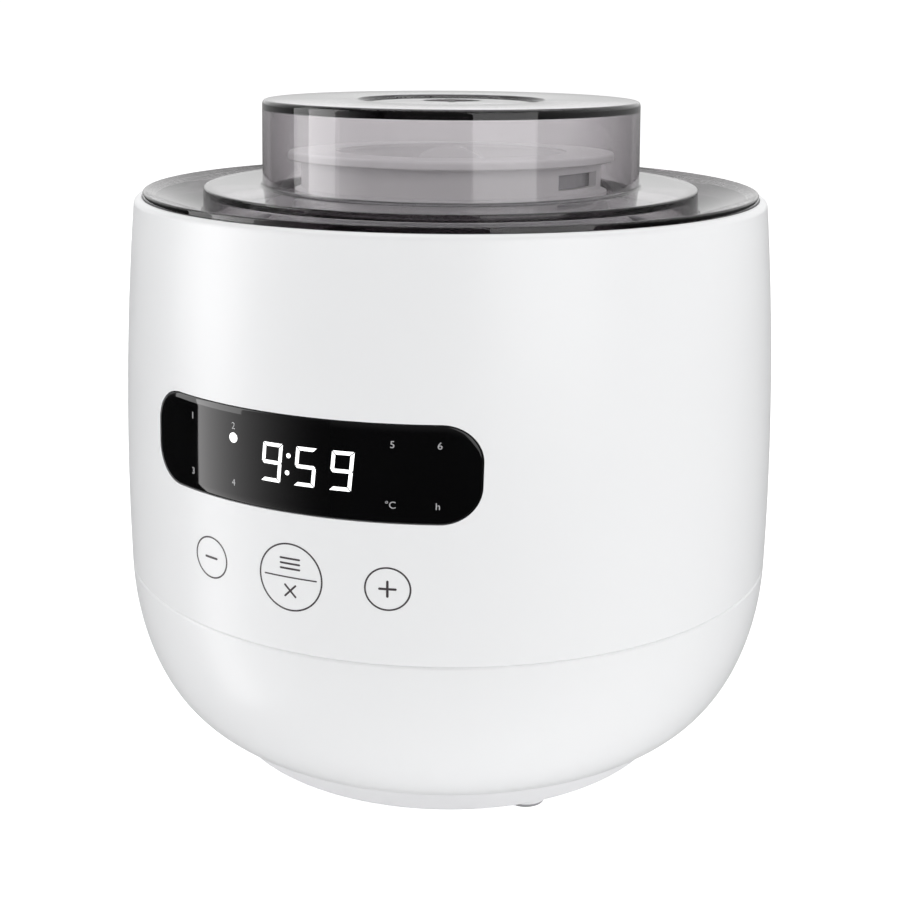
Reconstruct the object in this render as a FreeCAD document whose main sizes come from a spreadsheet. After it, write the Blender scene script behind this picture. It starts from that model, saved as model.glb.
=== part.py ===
import FreeCAD, Part
import Sketcher
import math
import os
import re

# Yogurt maker: a round heated housing that holds a jar with a strainer, a pot lid and a
# smoky cover. Millimetres, +Z up, origin on the floor under the centre of the base.
# The control panel faces -Y and the mains inlet faces +Y.

SIZES = {
    # Housing
    "seam_height": 58.5,        # joint line between the upper shell and the bowl
    "body_radius": 97.4,        # widest radius, at the seam
    "barrel_radius": 900.0,     # slight barrel curve of the upper shell
    "shell_wall": 2.4,
    "seam_bevel": 0.35,
    "tongue_depth": 2.0,
    "rim_height": 165.9,
    "rim_radius": 91.4,         # outer radius where the rim starts to round over
    "rim_round": 1.8,
    "rim_bore": 89.1,
    "ledge_height": 161.0,      # ledge inside the rim that carries the deck
    "ledge_width": 2.6,
    "bowl_centre": 71.4,        # the bowl is a quarter ellipse of revolution
    "bowl_side": 26.0,
    "bowl_depth": 48.7,
    "base_bore": 66.2,
    "ring_radius": 71.6,        # base ring under the bowl
    "ring_toe": 69.8,
    "ring_round": 1.7,
    "ring_wall_radius": 65.4,
    "foot_height": 1.3,
    "foot_radius": 5.6,
    "foot_circle": 63.2,
    "floor_height": 5.0,        # underside of the floor plate inside the base ring
    "floor_wall": 2.2,
    # Screws
    "screw_radius": 1.5,
    "head_radius": 2.9,
    "head_height": 1.9,
    "base_screw_circle": 50.0,
    "seam_screw_circle": 84.5,
    "seam_boss_radius": 4.2,
    # Heated well and deck
    "well_radius": 61.5,
    "well_wall": 1.0,
    "well_floor": 37.5,         # the jar stands on this face
    "well_flange_height": 152.8,
    "well_flange_radius": 71.0,
    "deck_bore": 62.6,
    # Jar, strainer and lid
    "jar_radius": 60.0,
    "jar_wall": 2.0,
    "jar_shoulder": 146.0,
    "neck_radius": 41.0,
    "neck_foot": 163.0,
    "neck_top": 173.8,
    "strainer_radius": 37.6,
    "strainer_wall": 1.3,
    "strainer_floor": 62.0,
    "strainer_rim": 1.2,
    "seal_height": 1.3,
    "lid_radius": 47.2,
    "lid_thick": 2.6,
    "skirt_radius": 43.6,
    "skirt_wall": 2.0,
    "skirt_foot": 166.9,
    "skirt_window_near": -18.0,     # one side of a window, measured across the skirt
    "skirt_window_far": 2.0,
    "skirt_window_rise": 4.2,
    "hollow_radius": 33.6,      # round hollow in the lid around the thumb grip
    "hollow_depth": 3.0,        # below the underside of the flange
    "grip_half": 14.0,
    "grip_arc": 16.9,
    "grip_thick": 2.8,
    # Smoky cover
    "cover_top": 192.3,
    "cover_wall": 2.3,
    "cover_recess_radius": 27.4,
    "cover_recess_depth": 0.8,
    "gate_radius": 1.3,
    "crown_radius": 54.35,      # top cylinder, with a slight draft
    "crown_foot_radius": 54.9,
    "step_radius": 71.7,
    "step_height": 168.2,
    "dish_height": 161.2,       # top of the dished flange where it meets the step
    "flange_top": 167.5,        # outer lip of the dished flange, proud of the rim
    "cover_edge": 163.6,        # the flange rests on the deck at this height
    # Control panel
    "panel_width": 93.8,
    "panel_low": 96.2,
    "panel_high": 121.0,
    "panel_corner": 9.5,
    "panel_thick": 2.3,
    "board_plane": 76.0,        # front face of the display board, measured towards -Y
    "board_thick": 1.6,
    "button_height": 79.1,
    "button_spread": 27.1,
    # Electronics in the base
    "control_board_height": 15.0,
    # Mains inlet
    "inlet_height": 40.0,
    "inlet_width": 24.0,
    "inlet_rise": 14.0,
    "inlet_face": 91.6,         # distance of the socket face from the axis
}

doc = FreeCAD.newDocument("YogurtMaker")
sheet = doc.addObject("Spreadsheet::Sheet", "Dims")
for row, (alias, number) in enumerate(SIZES.items(), start=1):
    sheet.set(f"A{row}", alias)
    sheet.set(f"B{row}", str(number))
    sheet.setAlias(f"B{row}", alias)
doc.recompute()

made = []


# ---------------------------------------------------------------- helpers

def bound(text):
    """Turns a formula of plain size names into one that reads the sheet."""
    return re.sub(r"[a-z]\w+", lambda word: f"Dims.{word[0]}" if word[0] in SIZES else word[0], str(text))


def size(text):
    """The present value of a formula of size names."""
    return float(sheet.evalExpression(bound(text)))


def new_body(label):
    body = doc.addObject("PartDesign::Body", label)
    body.Label = label
    body.AllowCompound = True
    made.append(body)
    return body


def new_sketch(body, role, offset="0"):
    """A sketch on one of the body's own origin planes, moved along its normal by offset."""
    sketch = body.newObject("Sketcher::SketchObject", "Sketch")
    plane = next(f for f in body.Origin.OriginFeatures if f.Role == role)
    sketch.AttachmentSupport = [(plane, "")]
    sketch.MapMode = "FlatFace"
    sketch.setExpression("AttachmentOffset.Base.z", bound(offset))
    return sketch


def pin_down(sketch, geometry, end, across, up):
    """Holds one end of a curve at a place given by two formulas."""
    for kind, text in (("DistanceX", across), ("DistanceY", up)):
        rule = Sketcher.Constraint(kind, -1, 1, geometry, end, size(text))
        index = sketch.addConstraint(rule)
        sketch.setExpression(f"Constraints[{index}]", bound(text))


def arc_between(start, end, radius, side):
    """The short arc of a given radius; side is +1 when it bulges to the right of the run."""
    chord = end.sub(start)
    half = chord.Length / 2
    rise = radius - math.sqrt(max(radius * radius - half * half, 0))
    normal = FreeCAD.Vector(chord.y, -chord.x, 0).normalize()
    middle = start.add(end).multiply(0.5).add(normal.multiply(side * rise))
    return Part.Arc(start, middle, end)


def outline(sketch, corners):
    """A closed loop. A corner is (across, up), or (across, up, radius, side) when an arc ends there."""
    places = [FreeCAD.Vector(size(c[0]), size(c[1]), 0) for c in corners]
    ends = []
    for index, corner in enumerate(corners):
        start, end = places[index - 1], places[index]
        if len(corner) == 2:
            curve = sketch.addGeometry(Part.LineSegment(start, end))
        else:
            curve = sketch.addGeometry(arc_between(start, end, size(corner[2]), corner[3]))
        forward = sketch.getPoint(curve, 2).distanceToPoint(end) < 1e-6
        ends.append((curve, 1 if forward else 2, 2 if forward else 1))
    for index, corner in enumerate(corners):
        curve, _, last = ends[index]
        following, first, _ = ends[(index + 1) % len(corners)]
        sketch.addConstraint(Sketcher.Constraint("Coincident", curve, last, following, first))
        pin_down(sketch, curve, last, corner[0], corner[1])
        if len(corner) > 2:
            rule = sketch.addConstraint(Sketcher.Constraint("Radius", curve, size(corner[2])))
            sketch.setExpression(f"Constraints[{rule}]", bound(corner[2]))


def circle(sketch, across, up, radius):
    place = FreeCAD.Vector(size(across), size(up), 0)
    curve = sketch.addGeometry(Part.Circle(place, FreeCAD.Vector(0, 0, 1), size(radius)))
    pin_down(sketch, curve, 3, across, up)
    rule = sketch.addConstraint(Sketcher.Constraint("Radius", curve, size(radius)))
    sketch.setExpression(f"Constraints[{rule}]", bound(radius))


def rectangle(sketch, low_x, low_y, high_x, high_y):
    outline(sketch, [(low_x, low_y), (high_x, low_y), (high_x, high_y), (low_x, high_y)])


def rounded_rectangle(sketch, low_x, low_y, high_x, high_y, radius):
    near_x, far_x = f"({low_x}) + ({radius})", f"({high_x}) - ({radius})"
    near_y, far_y = f"({low_y}) + ({radius})", f"({high_y}) - ({radius})"
    outline(sketch, [
        (far_x, low_y),
        (high_x, near_y, radius, 1),
        (high_x, far_y),
        (far_x, high_y, radius, 1),
        (near_x, high_y),
        (low_x, far_y, radius, 1),
        (low_x, near_y),
        (near_x, low_y, radius, 1),
    ])


def add_feature(body, kind, sketch, length=None, reverse=False):
    """A Pad, Pocket, Revolution or Groove of a sketch."""
    feature = body.newObject(f"PartDesign::{kind}", kind)
    feature.Profile = sketch
    if kind in ("Revolution", "Groove"):
        feature.ReferenceAxis = (sketch, ["V_Axis"])
        feature.Angle = 360
    else:
        feature.Reversed = reverse
        feature.setExpression("Length", bound(length))
    sketch.Visibility = False
    body.Tip = feature
    return feature


def turned(label, corners):
    """A piece turned about the vertical axis from one half section."""
    body = new_body(label)
    sketch = new_sketch(body, "XZ_Plane")
    outline(sketch, corners)
    add_feature(body, "Revolution", sketch)
    return body


def disc(body, across, up, radius, offset, length, kind="Pad", role="XY_Plane"):
    """A round boss, or a round hole, that runs from an offset plane along its normal."""
    sketch = new_sketch(body, role, offset)
    circle(sketch, across, up, radius)
    return add_feature(body, kind, sketch, length, reverse=(kind == "Pocket"))


def block(body, low_x, low_y, high_x, high_y, offset, length, kind="Pad", role="XY_Plane"):
    """A rectangular boss or pocket that runs from an offset plane along its normal."""
    sketch = new_sketch(body, role, offset)
    rectangle(sketch, low_x, low_y, high_x, high_y)
    return add_feature(body, kind, sketch, length, reverse=(kind == "Pocket"))


def around(body, features, count, first_sketch):
    """Repeats features around the vertical axis."""
    doc.recompute()
    pattern = body.newObject("PartDesign::PolarPattern", "PolarPattern")
    pattern.Originals = features
    pattern.Axis = (first_sketch, ["N_Axis"])
    pattern.Angle = 360
    pattern.Occurrences = count
    body.Tip = pattern
    return pattern


def sketch_of(feature):
    return feature.Profile[0]


def lead(label, radius, routes):
    """Insulated wires: straight runs joined by tangent arcs, one solid for each route."""
    solids = []
    for route in routes:
        points = [FreeCAD.Vector(*place) for place in route]
        edges = []
        start = points[0]
        for before, corner, after in zip(points, points[1:], points[2:]):
            into = before.sub(corner)
            away = after.sub(corner)
            turn = math.pi - into.getAngle(away)
            setback = 0.45 * min(into.Length, away.Length)
            bend = setback / math.tan(turn / 2)
            begin = corner.add(into.normalize().multiply(setback))
            finish = corner.add(away.normalize().multiply(setback))
            bisector = begin.add(finish).multiply(0.5).sub(corner).normalize()
            reach = bend / math.cos(turn / 2) - bend
            edges.append(Part.LineSegment(start, begin).toShape())
            edges.append(Part.Arc(begin, corner.add(bisector.multiply(reach)), finish).toShape())
            start = finish
        edges.append(Part.LineSegment(start, points[-1]).toShape())
        path = Part.Wire(edges)
        section = Part.Wire([Part.makeCircle(radius, points[0], points[1].sub(points[0]))])
        solids.append(path.makePipeShell([section], True, False))
    piece = doc.addObject("Part::Feature", label)
    piece.Label = label
    piece.Shape = Part.makeCompound(solids)
    made.append(piece)
    return piece


def bowl_point(angle, inset="0"):
    """A point of the bowl's quarter ellipse, at a parameter angle below the seam."""
    across = f"bowl_centre + (bowl_side - ({inset})) * cos({angle})"
    up = f"seam_height - (bowl_depth - ({inset})) * sin({angle})"
    return across, up


def bowl_bend(angle, inset="0"):
    """The ellipse's radius of curvature at a parameter angle."""
    wide, deep = f"(bowl_side - ({inset}))", f"(bowl_depth - ({inset}))"
    return f"(({wide} * sin({angle}))^2 + ({deep} * cos({angle}))^2)^1.5 / ({wide} * {deep})"


# ---------------------------------------------------------------- housing shells

def make_upper_shell():
    """White upper shell: rim, deck ledge, seam tongue, panel opening and screw bosses."""
    ledge_bore = "rim_bore - ledge_width"
    ledge_under = "ledge_height - shell_wall"
    inner_seam = "body_radius - shell_wall"
    tongue = "body_radius - shell_wall + 0.95"
    body = turned("upper_shell", [
        ("body_radius - seam_bevel", "seam_height"),
        ("body_radius", "seam_height + seam_bevel"),
        ("rim_radius", "rim_height - rim_round", "barrel_radius", 1),
        ("rim_radius - rim_round", "rim_height", "rim_round", 1),
        ("rim_bore", "rim_height"),
        ("rim_bore", "ledge_height"),
        (ledge_bore, "ledge_height"),
        (ledge_bore, ledge_under),
        ("rim_bore + 0.3", ledge_under),
        (inner_seam, "seam_height", "barrel_radius", -1),
        (inner_seam, "seam_height - tongue_depth"),
        (tongue, "seam_height - tongue_depth"),
        (tongue, "seam_height"),
    ])
    boss = disc(body, "seam_screw_circle * cos(45)", "seam_screw_circle * sin(45)",
                "seam_boss_radius", "seam_height + 4", "8")
    web_sketch = new_sketch(body, "XY_Plane", "seam_height + 4")
    reach = "(body_radius - 1.2) * cos(45)"
    post = "seam_screw_circle * cos(45)"
    outline(web_sketch, [
        (f"{post} + 1", f"{post} - 1"), (f"{reach} + 0.7", f"{reach} - 0.7"),
        (f"{reach} - 0.7", f"{reach} + 0.7"), (f"{post} - 1", f"{post} + 1"),
    ])
    web = add_feature(body, "Pad", web_sketch, "8")
    around(body, [boss, web], 4, sketch_of(boss))
    hole = disc(body, post, "seam_screw_circle * sin(45)", "screw_radius + 0.2",
                "seam_height + 3", "10", "Pocket")
    around(body, [hole], 4, sketch_of(hole))
    panel = new_sketch(body, "XZ_Plane")
    rounded_rectangle(panel, "-panel_width / 2 - 0.12", "panel_low - 0.12", "panel_width / 2 + 0.12",
                      "panel_high + 0.12", "panel_corner")
    add_feature(body, "Pocket", panel, "body_radius + 10", reverse=True)
    return body


def add_seam_posts(body):
    """Posts that take the seam screws, each tied to the bowl wall by a web."""
    post = "seam_screw_circle * cos(45)"
    column = disc(body, post, post, "seam_boss_radius", "seam_height - 24", "27.9")
    web_sketch = new_sketch(body, "XY_Plane", "seam_height - 24")
    reach = "(body_radius - 3) * cos(45)"
    outline(web_sketch, [
        (f"{post} + 1", f"{post} - 1"), (f"{reach} + 1", f"{reach} - 1"),
        (f"{reach} - 1", f"{reach} + 1"), (f"{post} - 1", f"{post} + 1"),
    ])
    web = add_feature(body, "Pad", web_sketch, "20")
    around(body, [column, web], 4, sketch_of(column))
    hole = disc(body, post, post, "screw_radius", "seam_height - 8", "14", "Pocket")
    around(body, [hole], 4, sketch_of(hole))


def make_lower_shell():
    """White bowl: quarter ellipse wall, seam rebate, screw posts and the inlet opening."""
    wall = "shell_wall"
    rebate = "body_radius - shell_wall + 1.05"
    rim_in, rebate_floor = bowl_point("2.7", wall)
    body = turned("lower_shell", [
        ("body_radius - seam_bevel", "seam_height"),
        (rebate, "seam_height"),
        (rebate, rebate_floor),
        (rim_in, rebate_floor),
        (*bowl_point("30", wall), bowl_bend("16", wall), 1),
        (*bowl_point("60", wall), bowl_bend("45", wall), 1),
        (*bowl_point("90", wall), bowl_bend("75", wall), 1),
        ("base_bore", "seam_height - bowl_depth + shell_wall"),
        ("base_bore", "seam_height - bowl_depth"),
        bowl_point("90"),
        (*bowl_point("60"), bowl_bend("75"), 1),
        (*bowl_point("30"), bowl_bend("45"), 1),
        ("body_radius", "seam_height - seam_bevel", bowl_bend("15"), 1),
    ])
    add_seam_posts(body)
    opening = new_sketch(body, "XZ_Plane")
    rounded_rectangle(opening, "-inlet_width / 2 - 0.1", "inlet_height - inlet_rise / 2 - 0.1",
                      "inlet_width / 2 + 0.1", "inlet_height + inlet_rise / 2 + 0.1", "2")
    add_feature(body, "Pocket", opening, "body_radius + 10")
    return body


def make_base_cover():
    """Base ring and floor plate, with standoffs, vent slots, foot bosses and screw holes."""
    toe_in = "ring_toe - ring_round"
    plate_top = "floor_height + floor_wall"
    bowl_floor = "seam_height - bowl_depth"
    body = turned("base_cover", [
        ("ring_radius", bowl_floor),
        ("base_bore - 0.3", bowl_floor),
        ("base_bore - 0.3", f"{bowl_floor} + shell_wall"),
        ("base_bore - 2.3", f"{bowl_floor} + shell_wall"),
        ("base_bore - 2.3", plate_top),
        ("0", plate_top),
        ("0", "floor_height"),
        ("ring_wall_radius", "floor_height"),
        ("ring_wall_radius", "foot_height"),
        (toe_in, "foot_height"),
        ("ring_toe", "foot_height + ring_round", "ring_round", 1),
    ])
    spot = "foot_circle * cos(45)"
    seat = disc(body, spot, spot, "foot_radius + 0.9", "foot_height", "floor_height - foot_height + 0.2")
    around(body, [seat], 4, sketch_of(seat))
    socket = disc(body, spot, spot, "2.1", "0", "floor_height", "Pocket")
    around(body, [socket], 4, sketch_of(socket))
    tube = disc(body, "base_screw_circle", "0", "head_radius + 1.6", "floor_height", "8")
    around(body, [tube], 4, sketch_of(tube))
    head = disc(body, "base_screw_circle", "0", "head_radius + 0.3", "floor_height - 1", "6", "Pocket")
    around(body, [head], 4, sketch_of(head))
    shank = disc(body, "base_screw_circle", "0", "screw_radius + 0.2", "floor_height - 1", "12", "Pocket")
    around(body, [shank], 4, sketch_of(shank))
    vent = block(body, "18", "-1.2", "34", "1.2", "floor_height - 1", "floor_wall + 2", "Pocket")
    around(body, [vent], 10, sketch_of(vent))
    for across in ("-36", "36"):
        for along in ("-24", "24"):
            disc(body, across, along, "3", plate_top, f"control_board_height - ({plate_top})")
            disc(body, across, along, "1.1", f"{plate_top} + 1", "10", "Pocket")
    return body


def make_well_support():
    """Spider that carries the heater clamp: a ring, a sensor hub and four screw posts."""
    under = "well_floor - 14"
    body = turned("well_support", [
        ("54", under), ("60", under), ("60", f"{under} + 3"), ("54", f"{under} + 3"),
    ])
    disc(body, "0", "0", "9", under, "3")
    post = disc(body, "base_screw_circle", "0", "4", "floor_height + 8", f"{under} - floor_height - 5")
    arm = block(body, "6", "-4", "57", "4", under, "3")
    around(body, [arm, post], 4, sketch_of(post))
    disc(body, "0", "0", "3.6", f"{under} - 1", "5", "Pocket")
    hole = disc(body, "base_screw_circle", "0", "screw_radius", "floor_height + 6", "11", "Pocket")
    around(body, [hole], 4, sketch_of(hole))
    return body


def make_rubber_feet():
    body = new_body("rubber_feet")
    spot = "foot_circle * cos(45)"
    pad = disc(body, spot, spot, "foot_radius", "0", "foot_height")
    stem = disc(body, spot, spot, "2.0", "0", "floor_height - 1")
    around(body, [pad, stem], 4, sketch_of(pad))
    return body


def make_screws(label, circle_x, circle_y, seat, length, upward, count=4, shank="screw_radius"):
    """Identical pan-head screws in a ring; the head lies on the seat height."""
    body = new_body(label)
    if upward:
        head = disc(body, circle_x, circle_y, "head_radius", f"({seat}) - head_height", "head_height")
        shaft = disc(body, circle_x, circle_y, shank, seat, length)
    else:
        head = disc(body, circle_x, circle_y, "head_radius", seat, "head_height")
        shaft = disc(body, circle_x, circle_y, shank, f"({seat}) - ({length})", length)
    around(body, [head, shaft], count, sketch_of(head))
    return body


# ---------------------------------------------------------------- deck, well and heater

def make_inner_deck():
    """Grey deck between the rim and the well; the cover's edge rests on it."""
    body = turned("inner_deck", [
        ("rim_bore - 0.3", "cover_edge"),
        ("86.2", "cover_edge"),
        ("85.4", "cover_edge - 0.9"),
        ("70.6", "dish_height - 3.4"),
        ("deck_bore + 1", "dish_height - 4.2"),
        ("deck_bore", "dish_height - 5.2"),
        ("deck_bore", "well_flange_height + 2.4"),
        ("well_flange_radius + 0.8", "well_flange_height + 2.4"),
        ("well_flange_radius + 0.8", "well_flange_height - 1.8"),
        ("well_flange_radius + 2.8", "well_flange_height - 1.8"),
        ("well_flange_radius + 2.8", "dish_height - 4.4"),
        ("85.6", "ledge_height"),
        ("rim_bore - 0.3", "ledge_height"),
    ])
    return body


def make_heating_well():
    """Deep-drawn aluminium tub that the jar stands in."""
    outer = "well_radius + well_wall"
    corner = "6"
    return turned("heating_well", [
        ("0", "well_floor"),
        (f"well_radius - {corner}", "well_floor"),
        ("well_radius", f"well_floor + {corner}", corner, 1),
        ("well_radius", "well_flange_height + 1.2 - 1.5"),
        ("well_radius + 1.5", "well_flange_height + 1.2", "1.5", -1),
        ("well_flange_radius", "well_flange_height + 1.2"),
        ("well_flange_radius", "well_flange_height + 0.2"),
        (f"{outer} + 0.5", "well_flange_height + 0.2"),
        (outer, "well_flange_height - 0.3", "0.5", 1),
        (outer, f"well_floor + {corner}"),
        (f"well_radius - {corner}", "well_floor - well_wall", f"{corner} + well_wall", -1),
        ("0", "well_floor - well_wall"),
    ])


def make_well_gasket():
    low, high = "well_flange_height + 1.2", "well_flange_height + 2.4"
    return turned("well_gasket", [("64.5", low), ("well_flange_radius", low), ("well_flange_radius", high), ("64.5", high)])


def make_heater_plate():
    """Mica heater plate clamped under the well's floor."""
    low, high = "well_floor - well_wall - 2.5", "well_floor - well_wall"
    return turned("heater_plate", [("9", low), ("48", low), ("48", high), ("9", high)])


def make_heater_clamp():
    """Steel dish that presses the heater plate up against the well."""
    top = "well_floor - well_wall - 2.5"
    low = "well_floor - 11"
    return turned("heater_clamp", [
        ("14", f"{top} - 1"), ("44.7", f"{top} - 1"), ("46.7", low), ("57.5", low),
        ("57.5", f"{low} + 1"), ("47.4", f"{low} + 1"), ("45.4", top), ("14", top),
    ])


def make_heater_band():
    """Silicone heater band round the lower half of the well."""
    inner = "well_radius + well_wall + 0.1"
    return turned("heater_band", [(inner, "52"), (f"{inner} + 1.5", "52"), (f"{inner} + 1.5", "98"), (inner, "98")])


def make_insulation_sleeve():
    """Felt sleeve over the heater band."""
    inner = "well_radius + well_wall + 1.8"
    return turned("insulation_sleeve", [(inner, "46"), (f"{inner} + 4", "46"), (f"{inner} + 4", "140"), (inner, "140")])


def make_thermal_fuse():
    """Thermal cut-off lying against the underside of the heater clamp."""
    body = new_body("thermal_fuse")
    disc(body, "0", "well_floor - well_wall - 5.5", "2", "22", "12", role="YZ_Plane")
    return body


def make_ntc_sensor():
    """Temperature probe that touches the middle of the well's floor."""
    top = "well_floor - well_wall"
    return turned("ntc_sensor", [
        ("0", top), ("6.5", top), ("6.5", f"{top} - 3"), ("3.4", f"{top} - 3.8"), ("3.4", f"{top} - 12"),
        ("0", f"{top} - 12"),
    ])


# ---------------------------------------------------------------- control panel

def trim_to_barrel(body, outer_inset, inner_inset):
    """Keeps only the part of a body that lies between two offsets of the barrel wall."""
    top = "rim_height - rim_round"
    outside = new_sketch(body, "XZ_Plane")
    outline(outside, [
        ("body_radius + 30", "seam_height"),
        ("body_radius + 30", top),
        (f"rim_radius - ({outer_inset})", top),
        (f"body_radius - ({outer_inset})", "seam_height", "barrel_radius", -1),
    ])
    add_feature(body, "Groove", outside)
    inside = new_sketch(body, "XZ_Plane")
    outline(inside, [
        ("0", top),
        ("0", "seam_height"),
        (f"body_radius - ({inner_inset})", "seam_height"),
        (f"rim_radius - ({inner_inset})", top, "barrel_radius", 1),
    ])
    add_feature(body, "Groove", inside)


def make_display_window():
    """Glossy black curved window that fills the panel opening."""
    body = new_body("display_window")
    face = new_sketch(body, "XZ_Plane", "60")
    rounded_rectangle(face, "-panel_width / 2", "panel_low", "panel_width / 2", "panel_high", "panel_corner")
    add_feature(body, "Pad", face, "50")
    trim_to_barrel(body, "0.1", "panel_thick + 0.1")
    return body


def make_display_frame():
    """Black frame behind the window, with the posts that carry the display board."""
    body = new_body("display_frame")
    face = new_sketch(body, "XZ_Plane", "60")
    rounded_rectangle(face, "-panel_width / 2 - 5", "panel_low - 5", "panel_width / 2 + 5",
                      "panel_high + 5", "panel_corner + 4")
    add_feature(body, "Pad", face, "50")
    trim_to_barrel(body, "panel_thick + 0.35", "panel_thick + 2.4")
    opening = new_sketch(body, "XZ_Plane", "40")
    rounded_rectangle(opening, "-panel_width / 2 + 3", "panel_low + 3", "panel_width / 2 - 3",
                      "panel_high - 3", "panel_corner - 3")
    add_feature(body, "Pocket", opening, "80", reverse=True)
    doc.recompute()
    for across in ("-41", "41"):
        for up in ("panel_low - 1", "panel_high + 1"):
            disc(body, across, up, "2.4", "board_plane", "5.4", role="XZ_Plane")
            disc(body, across, up, "1.0", "board_plane", "4.6", "Pocket", role="XZ_Plane")
    return body


def make_display_board():
    """Circuit board behind the window and the touch fields."""
    body = new_body("display_board")
    block(body, "-45", "70", "45", "panel_high + 4", "board_plane - board_thick", "board_thick", role="XZ_Plane")
    for across in ("-41", "41"):
        for up in ("panel_low - 1", "panel_high + 1"):
            disc(body, across, up, "1.2", "board_plane - 4", "8", "Pocket", role="XZ_Plane")
    return body


def make_display_screws():
    body = new_body("display_screws")
    rear = "board_plane - board_thick"
    for across in ("-41", "41"):
        for up in ("panel_low - 1", "panel_high + 1"):
            disc(body, across, up, "2.0", f"{rear} - 1.4", "1.4", role="XZ_Plane")
            disc(body, across, up, "1.0", rear, "board_thick + 4", role="XZ_Plane")
    return body


def make_digit_module():
    """Three-digit seven-segment module with its light baffle."""
    body = new_body("digit_module")
    block(body, "-9.5", "98.5", "20.5", "116.5", "board_plane", "8", role="XZ_Plane")
    return body


def make_status_leds():
    """One small lamp for each of the eight programme marks."""
    body = new_body("status_leds")
    for across in ("-31.4", "-16.4", "27.5", "38"):
        for up in ("104.6", "112.8"):
            block(body, f"{across} - 1.5", f"{up} - 1", f"{across} + 1.5", f"{up} + 1",
                  "board_plane", "1.8", role="XZ_Plane")
    return body


def make_touch_contacts():
    """Three conductive rubber columns between the display board and the shell wall."""
    body = new_body("touch_contacts")
    wall = "(body_radius - shell_wall - 0.4)"
    for across, spread, radius in (("-button_spread", "button_spread", "3.6"),
                                   ("0", "0", "5"),
                                   ("button_spread", "button_spread", "3.6")):
        reach = f"sqrt({wall}^2 - ({spread} + {radius})^2) - board_plane"
        disc(body, across, "button_height", radius, "board_plane", reach, role="XZ_Plane")
    return body


# ---------------------------------------------------------------- electronics and mains inlet

def make_control_board():
    """Power and control board on the base cover's standoffs."""
    body = new_body("control_board")
    block(body, "-42", "-29", "42", "29", "control_board_height", "board_thick")
    for across in ("-36", "36"):
        for along in ("-24", "24"):
            disc(body, across, along, "1.3", "control_board_height - 1", "4", "Pocket")
    return body


def make_board_screws():
    body = new_body("board_screws")
    top = "control_board_height + board_thick"
    for across in ("-36", "36"):
        for along in ("-24", "24"):
            disc(body, across, along, "2.2", top, "1.5")
            disc(body, across, along, "1.1", f"{top} - 6", "6")
    return body


def make_transformer():
    body = new_body("transformer")
    block(body, "-33", "-21", "-13", "-7", "control_board_height + board_thick", "12.5")
    block(body, "-30.5", "-22.5", "-15.5", "-5.5", "control_board_height + board_thick + 2.5", "7.5")
    return body


def make_relay():
    body = new_body("relay")
    block(body, "15", "7", "33", "18", "control_board_height + board_thick", "11")
    return body


def make_capacitors():
    body = new_body("capacitors")
    disc(body, "24", "-14", "4.5", "control_board_height + board_thick", "11")
    disc(body, "12", "-12", "3.2", "control_board_height + board_thick", "9")
    return body


def make_board_connectors():
    """Plug-in connectors for the mains leads and for the display leads."""
    body = new_body("board_connectors")
    block(body, "-20", "21", "-6", "28", "control_board_height + board_thick", "7")
    block(body, "6", "-28", "22", "-21", "control_board_height + board_thick", "7")
    return body


def make_power_inlet():
    """Two-pole appliance inlet: recessed socket moulding with a flange behind the bowl wall."""
    body = new_body("power_inlet")
    shell = new_sketch(body, "XZ_Plane", "-inlet_face")
    rounded_rectangle(shell, "-inlet_width / 2", "inlet_height - inlet_rise / 2",
                      "inlet_width / 2", "inlet_height + inlet_rise / 2", "1.9")
    add_feature(body, "Pad", shell, "14")
    block(body, "-inlet_width / 2 - 3", "inlet_height - inlet_rise / 2 - 2.5", "inlet_width / 2 + 3",
          "inlet_height + inlet_rise / 2 + 2.5", "4.8 - inlet_face", "2", role="XZ_Plane")
    cavity = new_sketch(body, "XZ_Plane", "-inlet_face")
    rounded_rectangle(cavity, "-8", "inlet_height - 4.1", "8", "inlet_height + 4.1", "4")
    add_feature(body, "Pocket", cavity, "11", reverse=True)
    for across in ("-4.3", "4.3"):
        disc(body, across, "inlet_height", "1.2", "-inlet_face", "20", "Pocket", role="XZ_Plane")
    return body


def make_inlet_pins():
    body = new_body("inlet_pins")
    for across in ("-4.3", "4.3"):
        disc(body, across, "inlet_height", "1.2", "2.2 - inlet_face", "14", role="XZ_Plane")
    return body


def make_leads():
    """Inner wiring, each lead from terminal to terminal."""
    tail = size("inlet_face") - 16.2
    mains_height = size("inlet_height")
    board_top = size("control_board_height + board_thick")
    plug = board_top + 3.5
    mains = []
    for side in (-1, 1):
        shift = -13 + side * 3.0
        mains.append([
            (side * 4.3, tail, mains_height), (side * 4.3, tail - 5, mains_height),
            (shift, 66, 31), (shift, 62, 20), (shift, 44, plug + 0.5), (shift, 28, plug),
        ])
    lead("mains_leads", 1.2, mains)
    under_heater = size("well_floor - well_wall - 2.5")
    heater = [
        [(side * 11, 11, board_top), (side * 11, 11, 22), (side * 8.3, 8.3, 28), (side * 8.3, 8.3, under_heater)]
        for side in (-1, 1)
    ]
    lead("heater_leads", 1.0, heater)
    rear = size("board_plane - board_thick")
    display = [
        [(across, -rear, 76), (across, 4 - rear, 76), (across, 5 - rear, 62), (across, 4 - rear, 42),
         (across, 6 - rear, 26), (across, -56, 19), (across, -42, plug + 0.5), (across, -28, plug)]
        for across in (10.5, 12.5, 14.5, 16.5)
    ]
    lead("display_leads", 0.7, display)


# ---------------------------------------------------------------- jar, strainer, lid and cover

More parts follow.
